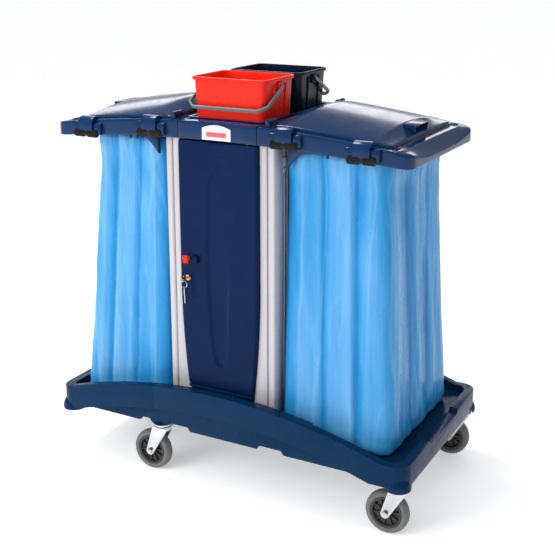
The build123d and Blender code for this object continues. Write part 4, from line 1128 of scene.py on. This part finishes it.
def bagMesh(side):
    s = bagSizes
    inner, bottom, top, total = s["inner"], s["bottom"], s["top"], s["rows"]
    topOuter, bottomOuter = s["outer"][side]
    seed = s["seed"][side]

    def skin(z, grow, inwards=0.0):
        # one ring of the film at this height, as (point, painted shading value)
        level = (z - bottom) / (top - bottom)
        outer = bottomOuter + (topOuter - bottomOuter) * level
        depth = s["bottomHalfDepth"] + (s["topHalfDepth"] - s["bottomHalfDepth"]) * level
        cx, hx = (outer + inner) / 2, (outer - inner) / 2
        ring = [(cx + x, y) for x, y in roundedRectangle(hx, depth, s["corner"], 10, 58)]
        low = 1 - smoothStep(bottom, bottom + 0.10, z)
        gather = smoothStep(top - 0.110, top - 0.015, z)
        middle = (1 - low) * (1 - gather)
        wander = 0.012 * noise.noise(Vector((seed, z * 2.2, 0.4)))
        out = []
        for k, (x, y) in enumerate(ring):
            xa, ya = ring[(k + 1) % len(ring)]
            xb, yb = ring[k - 1]
            normal = Vector((ya - yb, xb - xa, 0)).normalized()
            at = (x * side, y, z)
            lean = (x * side + 0.10 * (z - 0.6), y + 0.06 * (z - 0.6), z)
            broad = ridged(lean, 9.0, 1.1, seed)
            crease = ridged(lean, 21.0, 1.9, seed + 4.0)
            fine = ridged(at, 55.0, 7.0, seed + 8.0)
            slump = ridged(at, 13.0, 30.0, seed + 2.0)
            pleat = ridged(at, 46.0, 5.0, seed + 6.0)
            soft = noise.noise(Vector((x * side * 5.0, y * 5.0, z * 3.0 + seed)))
            fromLocker = x - inner
            beside = 1 - smoothStep(0.0, 0.05, fromLocker)      # the wall that faces the locker
            if abs(normal.y) > 0.6:
                across = (x - cx + hx) / (2 * hx)
                long = creaseHeight(frontCreases, across if y < 0 else 1 - across * 0.93, level, wander)
            else:
                long = creaseHeight(endCreases, (y + depth) / (2 * depth), level, wander)
            amount = 0.0022 * broad + 0.0022 * crease + 0.0010 * fine + 0.004 * soft + 0.85 * long
            amount = amount * (0.55 + 0.45 * middle) + 0.0042 * slump * low + 0.0050 * pleat * gather
            amount += 0.0085 * gather * (1 - smoothStep(top - 0.012, top, z)) - 0.004
            amount *= 1 - 0.75 * beside
            if beside > 0.3:
                amount = min(amount, 0.0065)
            # painted shading: lighter where long creases, ridges and pleats stand proud, darker toward the
            # floor and on the wall that faces the locker
            paintedShading = 0.36 + 42 * long + 0.06 * broad + 0.07 * crease + 0.03 * fine + 0.10 * soft
            paintedShading += 0.10 * pleat * gather - 0.10 * low - 0.30 * beside + 0.06 * slump * low
            # painted shade: the corner beside the locker is deep blue, and the front face next to it is
            # deeper too
            paintedShading -= 0.34 * (1 - smoothStep(0.008, 0.016, fromLocker))
            paintedShading -= 0.10 * (1 - smoothStep(0.02, 0.10, fromLocker))
            # painted shade: the end away from the locker is a little deeper
            paintedShading -= 0.12 * smoothStep(0.3, 0.9, normal.x)
            point = Vector((x, y, z)) + normal * (amount + grow - inwards)
            point.z += 0.0022 * pleat * gather
            out.append((point, paintedShading))
        return out

    sideStart = bottom + 0.017
    # the foot's rounding, the outer wall, the turned mouth, the inner wall and the foot from inside
    rows = [skin(bottom + rise, grow) for rise, grow in ((0.0, -0.018), (0.0022, -0.0075), (0.0090, -0.0015))]
    rows += [skin(sideStart + (top - 0.010 - sideStart) * k / (total - 1), 0.0) for k in range(total)]
    mouth = ((-0.006, 0.0002), (-0.0022, -0.0022), (0.0, -0.0055), (-0.0015, -0.0085), (-0.0060, -0.0100))
    rows += [skin(top + rise, grow) for rise, grow in mouth]
    for k in range(0, total, 2):
        z = sideStart + (top - 0.020 - sideStart) * (1 - k / (total - 1))
        rows.append(skin(z, 0.0, s["wall"] + 0.0085 * smoothStep(top - 0.060, top - 0.010, z)))
    rows += [skin(bottom + rise, grow, s["wall"]) for rise, grow in ((0.0045, -0.012), (0.0030, -0.024))]
    points = [(midX + side * point.x, point.y, max(point.z, bottom)) for row in rows for point, paintedShading in row]
    paintedShadingValues = [min(1.0, max(0.0, paintedShading)) for row in rows for point, paintedShading in row]
    mesh = meshFrom("bag", points, loftFaces(len(rows), len(rows[0])))
    attribute = mesh.attributes.new("paintedShading", "FLOAT", "POINT")
    attribute.data.foreach_set("value", paintedShadingValues)
    bm = bmesh.new()
    bm.from_mesh(mesh)
    bmesh.ops.recalc_face_normals(bm, faces=bm.faces)
    bm.to_mesh(mesh)
    bm.free()
    return mesh


for side, name in ((1, "right"), (-1, "left")):
    finishPiece(addObject(name + "_bag", bagMesh(side)), blueFilm, "cart", ("bag_" + name,), 180)
print("bags made")


# badge, knob, lock, key and the small fixings

def softPiece(name, mesh, material):
    # a small extra with eased edges, fixed to the cart
    piece = addObject(name, mesh)
    bevelEdges(piece, 0.0005, 2, 40)
    finishPiece(piece, material)


badgeLow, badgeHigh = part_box("badge_plate")
softCopy("badge_plate", whitePlate, 0.0022, 3)
barMesh = boxMesh((badgeLow.x + 0.014, badgeLow.y - 0.0006, badgeLow.z + 0.009),
                  (badgeHigh.x - 0.014, badgeLow.y + 0.0008, badgeLow.z + 0.0225))
softPiece("badge_bar", barMesh, badgeRed)

# each ring of the knob: distance out from the door, half width, half height, corner radius
knobRings = [(0.0, 0.0080, 0.0104, 0.0035), (0.0012, 0.0086, 0.0112, 0.0035),
             (0.0060, 0.0085, 0.0110, 0.0035), (0.0085, 0.0078, 0.0102, 0.0035),
             (0.0097, 0.0062, 0.0082, 0.0030), (0.0101, 0.0036, 0.0050, 0.0020)]


def knobMesh():
    # a squarish button with a domed face
    centre, front, face = boxCentre("latch_knob"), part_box("latch_knob")[0].y, doorBox[0].y
    points, count = [], 0
    for along, hx, hz, r in knobRings:
        ring = roundedRectangle(hx, hz, r, 6, 4)
        count = len(ring)
        y = max(front, face - along + 0.0005)
        points += [(centre.x + x, y, centre.z + z) for x, z in ring]
    return outward(meshFrom("knob", points, loftFaces(len(knobRings), count)))


finishPiece(addObject("red_knob", knobMesh()), redPlastic, "latch", ("latch_knob",), 50)
for node, stock, slotName, width in (("lock_cylinder", brass, "brass", 0.0008),
                                     ("key", brass, "brass", 0.0004),
                                     ("key_ring", zinc, "zinc_steel", 0.0003)):
    softCopy(node, stock, width, 2, "lock")
for node, stock in (("frame_screws", darkSteel), ("platform_bolts", zinc),
                    ("lid_hinge_pins", darkSteel), ("door_pins", darkSteel)):
    softCopy(node, stock, 0.0004, 2, cad[node]["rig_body"])
softCopy("back_panel", greyWithPaintedBagLight, 0.0010, 2)
softCopy("cabinet_floor", navyBase, 0.0008, 2)
softCopy("cabinet_shelves", greyWithPaintedBagLight, 0.0008, 2)

# black stops that hang under the fascia
stopProfile = [(0, 0.0), (0.0006, 0.0030), (0.0022, 0.0038), (0.0110, 0.0038),
               (0.0150, 0.0028), (0.0150, 0.0)]
stops = [turned(stopProfile, (midX + x, fasciaY + 0.0085, frameUnder(x) - 0.0105), (0, 0, 1), 18)
         for x in (-0.292, -0.270, 0.330)]
finishPiece(addObject("bag_stops", joinMeshes("bagStops", stops)), blackClip)

# two pale plates on the locker's right side
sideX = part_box("side_panel_right")[1].x
plates = [boxMesh((sideX - 0.0010, -0.193, z0), (sideX + 0.0006, -0.170, z1))
          for z0, z1 in ((0.971, 0.995), (0.952, 0.967))]
softPiece("side_plates", joinMeshes("sidePlates", plates), whitePlate)

keptNodes = {"latch_cam": zinc, "bag_rings": zinc}
for node, material in keptNodes.items():
    kept = cad[node]
    if not kept.material_slots:
        kept.data.materials.append(None)
    for entry in kept.material_slots:
        entry.link = "OBJECT"
        entry.material = material
print("small parts made")


# floor, light and camera

floorStock, floorTree, floorShader, floorVector = newMaterial("paleFloor")
floorCloud = noiseNode(floorTree, floorVector, 1.3, 3.0, 0.5)
floorShade = spread(floorTree, floorCloud, 0.0, 1.0)
floorColour = blendColours(floorTree, floorShade, (0.86, 0.86, 0.865), (0.89, 0.89, 0.89))
floorTree.links.new(floorColour, floorShader.inputs["Base Color"])
floorShader.inputs["Roughness"].default_value = 0.75
floorShader.inputs["Specular IOR Level"].default_value = 0.1
floorShader.inputs["Emission Color"].default_value = (1, 1, 1, 1)
floorShader.inputs["Emission Strength"].default_value = 0.42
floorHalf = 300      # metres, so its edge is never in view
floorPoints = [(floorHalf * sx, floorHalf * sy, 0) for sx, sy in ((-1, -1), (1, -1), (1, 1), (-1, 1))]
floor = addObject("floor", meshFrom("floor", floorPoints, [(0, 1, 2, 3)]))
floor.data.materials.append(floorStock)

world = bpy.data.worlds.new("studio")
scene.world = world
world.use_nodes = True
sky = world.node_tree
backdrop = sky.nodes["Background"]
backdrop.inputs["Strength"].default_value = 1.0
skyCoords = sky.nodes.new("ShaderNodeTexCoord")
skyParts = sky.nodes.new("ShaderNodeSeparateXYZ")
skyRamp = sky.nodes.new("ShaderNodeValToRGB")
# dim in front of the cart, brighter behind it, so upright faces stay dark and the lids catch the light
sky.links.new(skyCoords.outputs["Generated"], skyParts.inputs["Vector"])
skyShift = sky.nodes.new("ShaderNodeMapRange")
skyShift.inputs["From Min"].default_value = -1.0
skyShift.inputs["From Max"].default_value = 1.0
sky.links.new(skyParts.outputs["Y"], skyShift.inputs["Value"])
sky.links.new(skyShift.outputs["Result"], skyRamp.inputs["Fac"])
skyStops = skyRamp.color_ramp.elements
skyStops[0].position, skyStops[0].color = 0.35, (0.16, 0.165, 0.17, 1)
skyStops[1].position, skyStops[1].color = 0.80, (0.34, 0.345, 0.35, 1)
sky.links.new(skyRamp.outputs["Color"], backdrop.inputs["Color"])


def areaLight(name, place, target, width, height, power, glossy=True):
    light = bpy.data.lights.new(name, "AREA")
    light.shape = "RECTANGLE"
    light.size, light.size_y = width, height
    light.energy = power
    lamp = addObject(name, light)
    lamp.location = place
    lamp.rotation_euler = (Vector(target) - Vector(place)).to_track_quat("-Z", "Y").to_euler()
    lamp.visible_glossy = glossy
    lamp.visible_camera = False
    return lamp


sun = bpy.data.lights.new("skylight", "SUN")
sun.energy = 1.55
sun.angle = radians(80)
sunLamp = addObject("skylight", sun)
sunLamp.rotation_euler = (radians(28), radians(-12), 0)
sunLamp.visible_glossy = False
areaLight("behind", (-1.95, 4.1, 2.35), (0.2, 0, 1.1), 4.6, 0.95, 40)
areaLight("overhead", (-1.5, 0.1, 4.0), (0, 0, 1.0), 1.3, 0.8, 60)
areaLight("front", (-1.7, -3.4, 2.0), (0, 0, 0.7), 2.2, 2.2, 82, False)
areaLight("sideFill", (3.2, -0.6, 1.8), (0, 0, 0.7), 1.4, 1.8, 10, False)

camera = bpy.data.cameras.new("camera")
camera.sensor_width = 36.0
camera.lens = 65.83
camera.shift_y = -0.1
camera.clip_end = 100
viewer = addObject("camera", camera)
viewer.location = (1.4107, -2.5790, 1.5304)
viewer.rotation_euler = (pi / 2 - 0.259, 0, 0.491)
scene.camera = viewer
scene.view_settings.view_transform = "Standard"
print("stage ready")
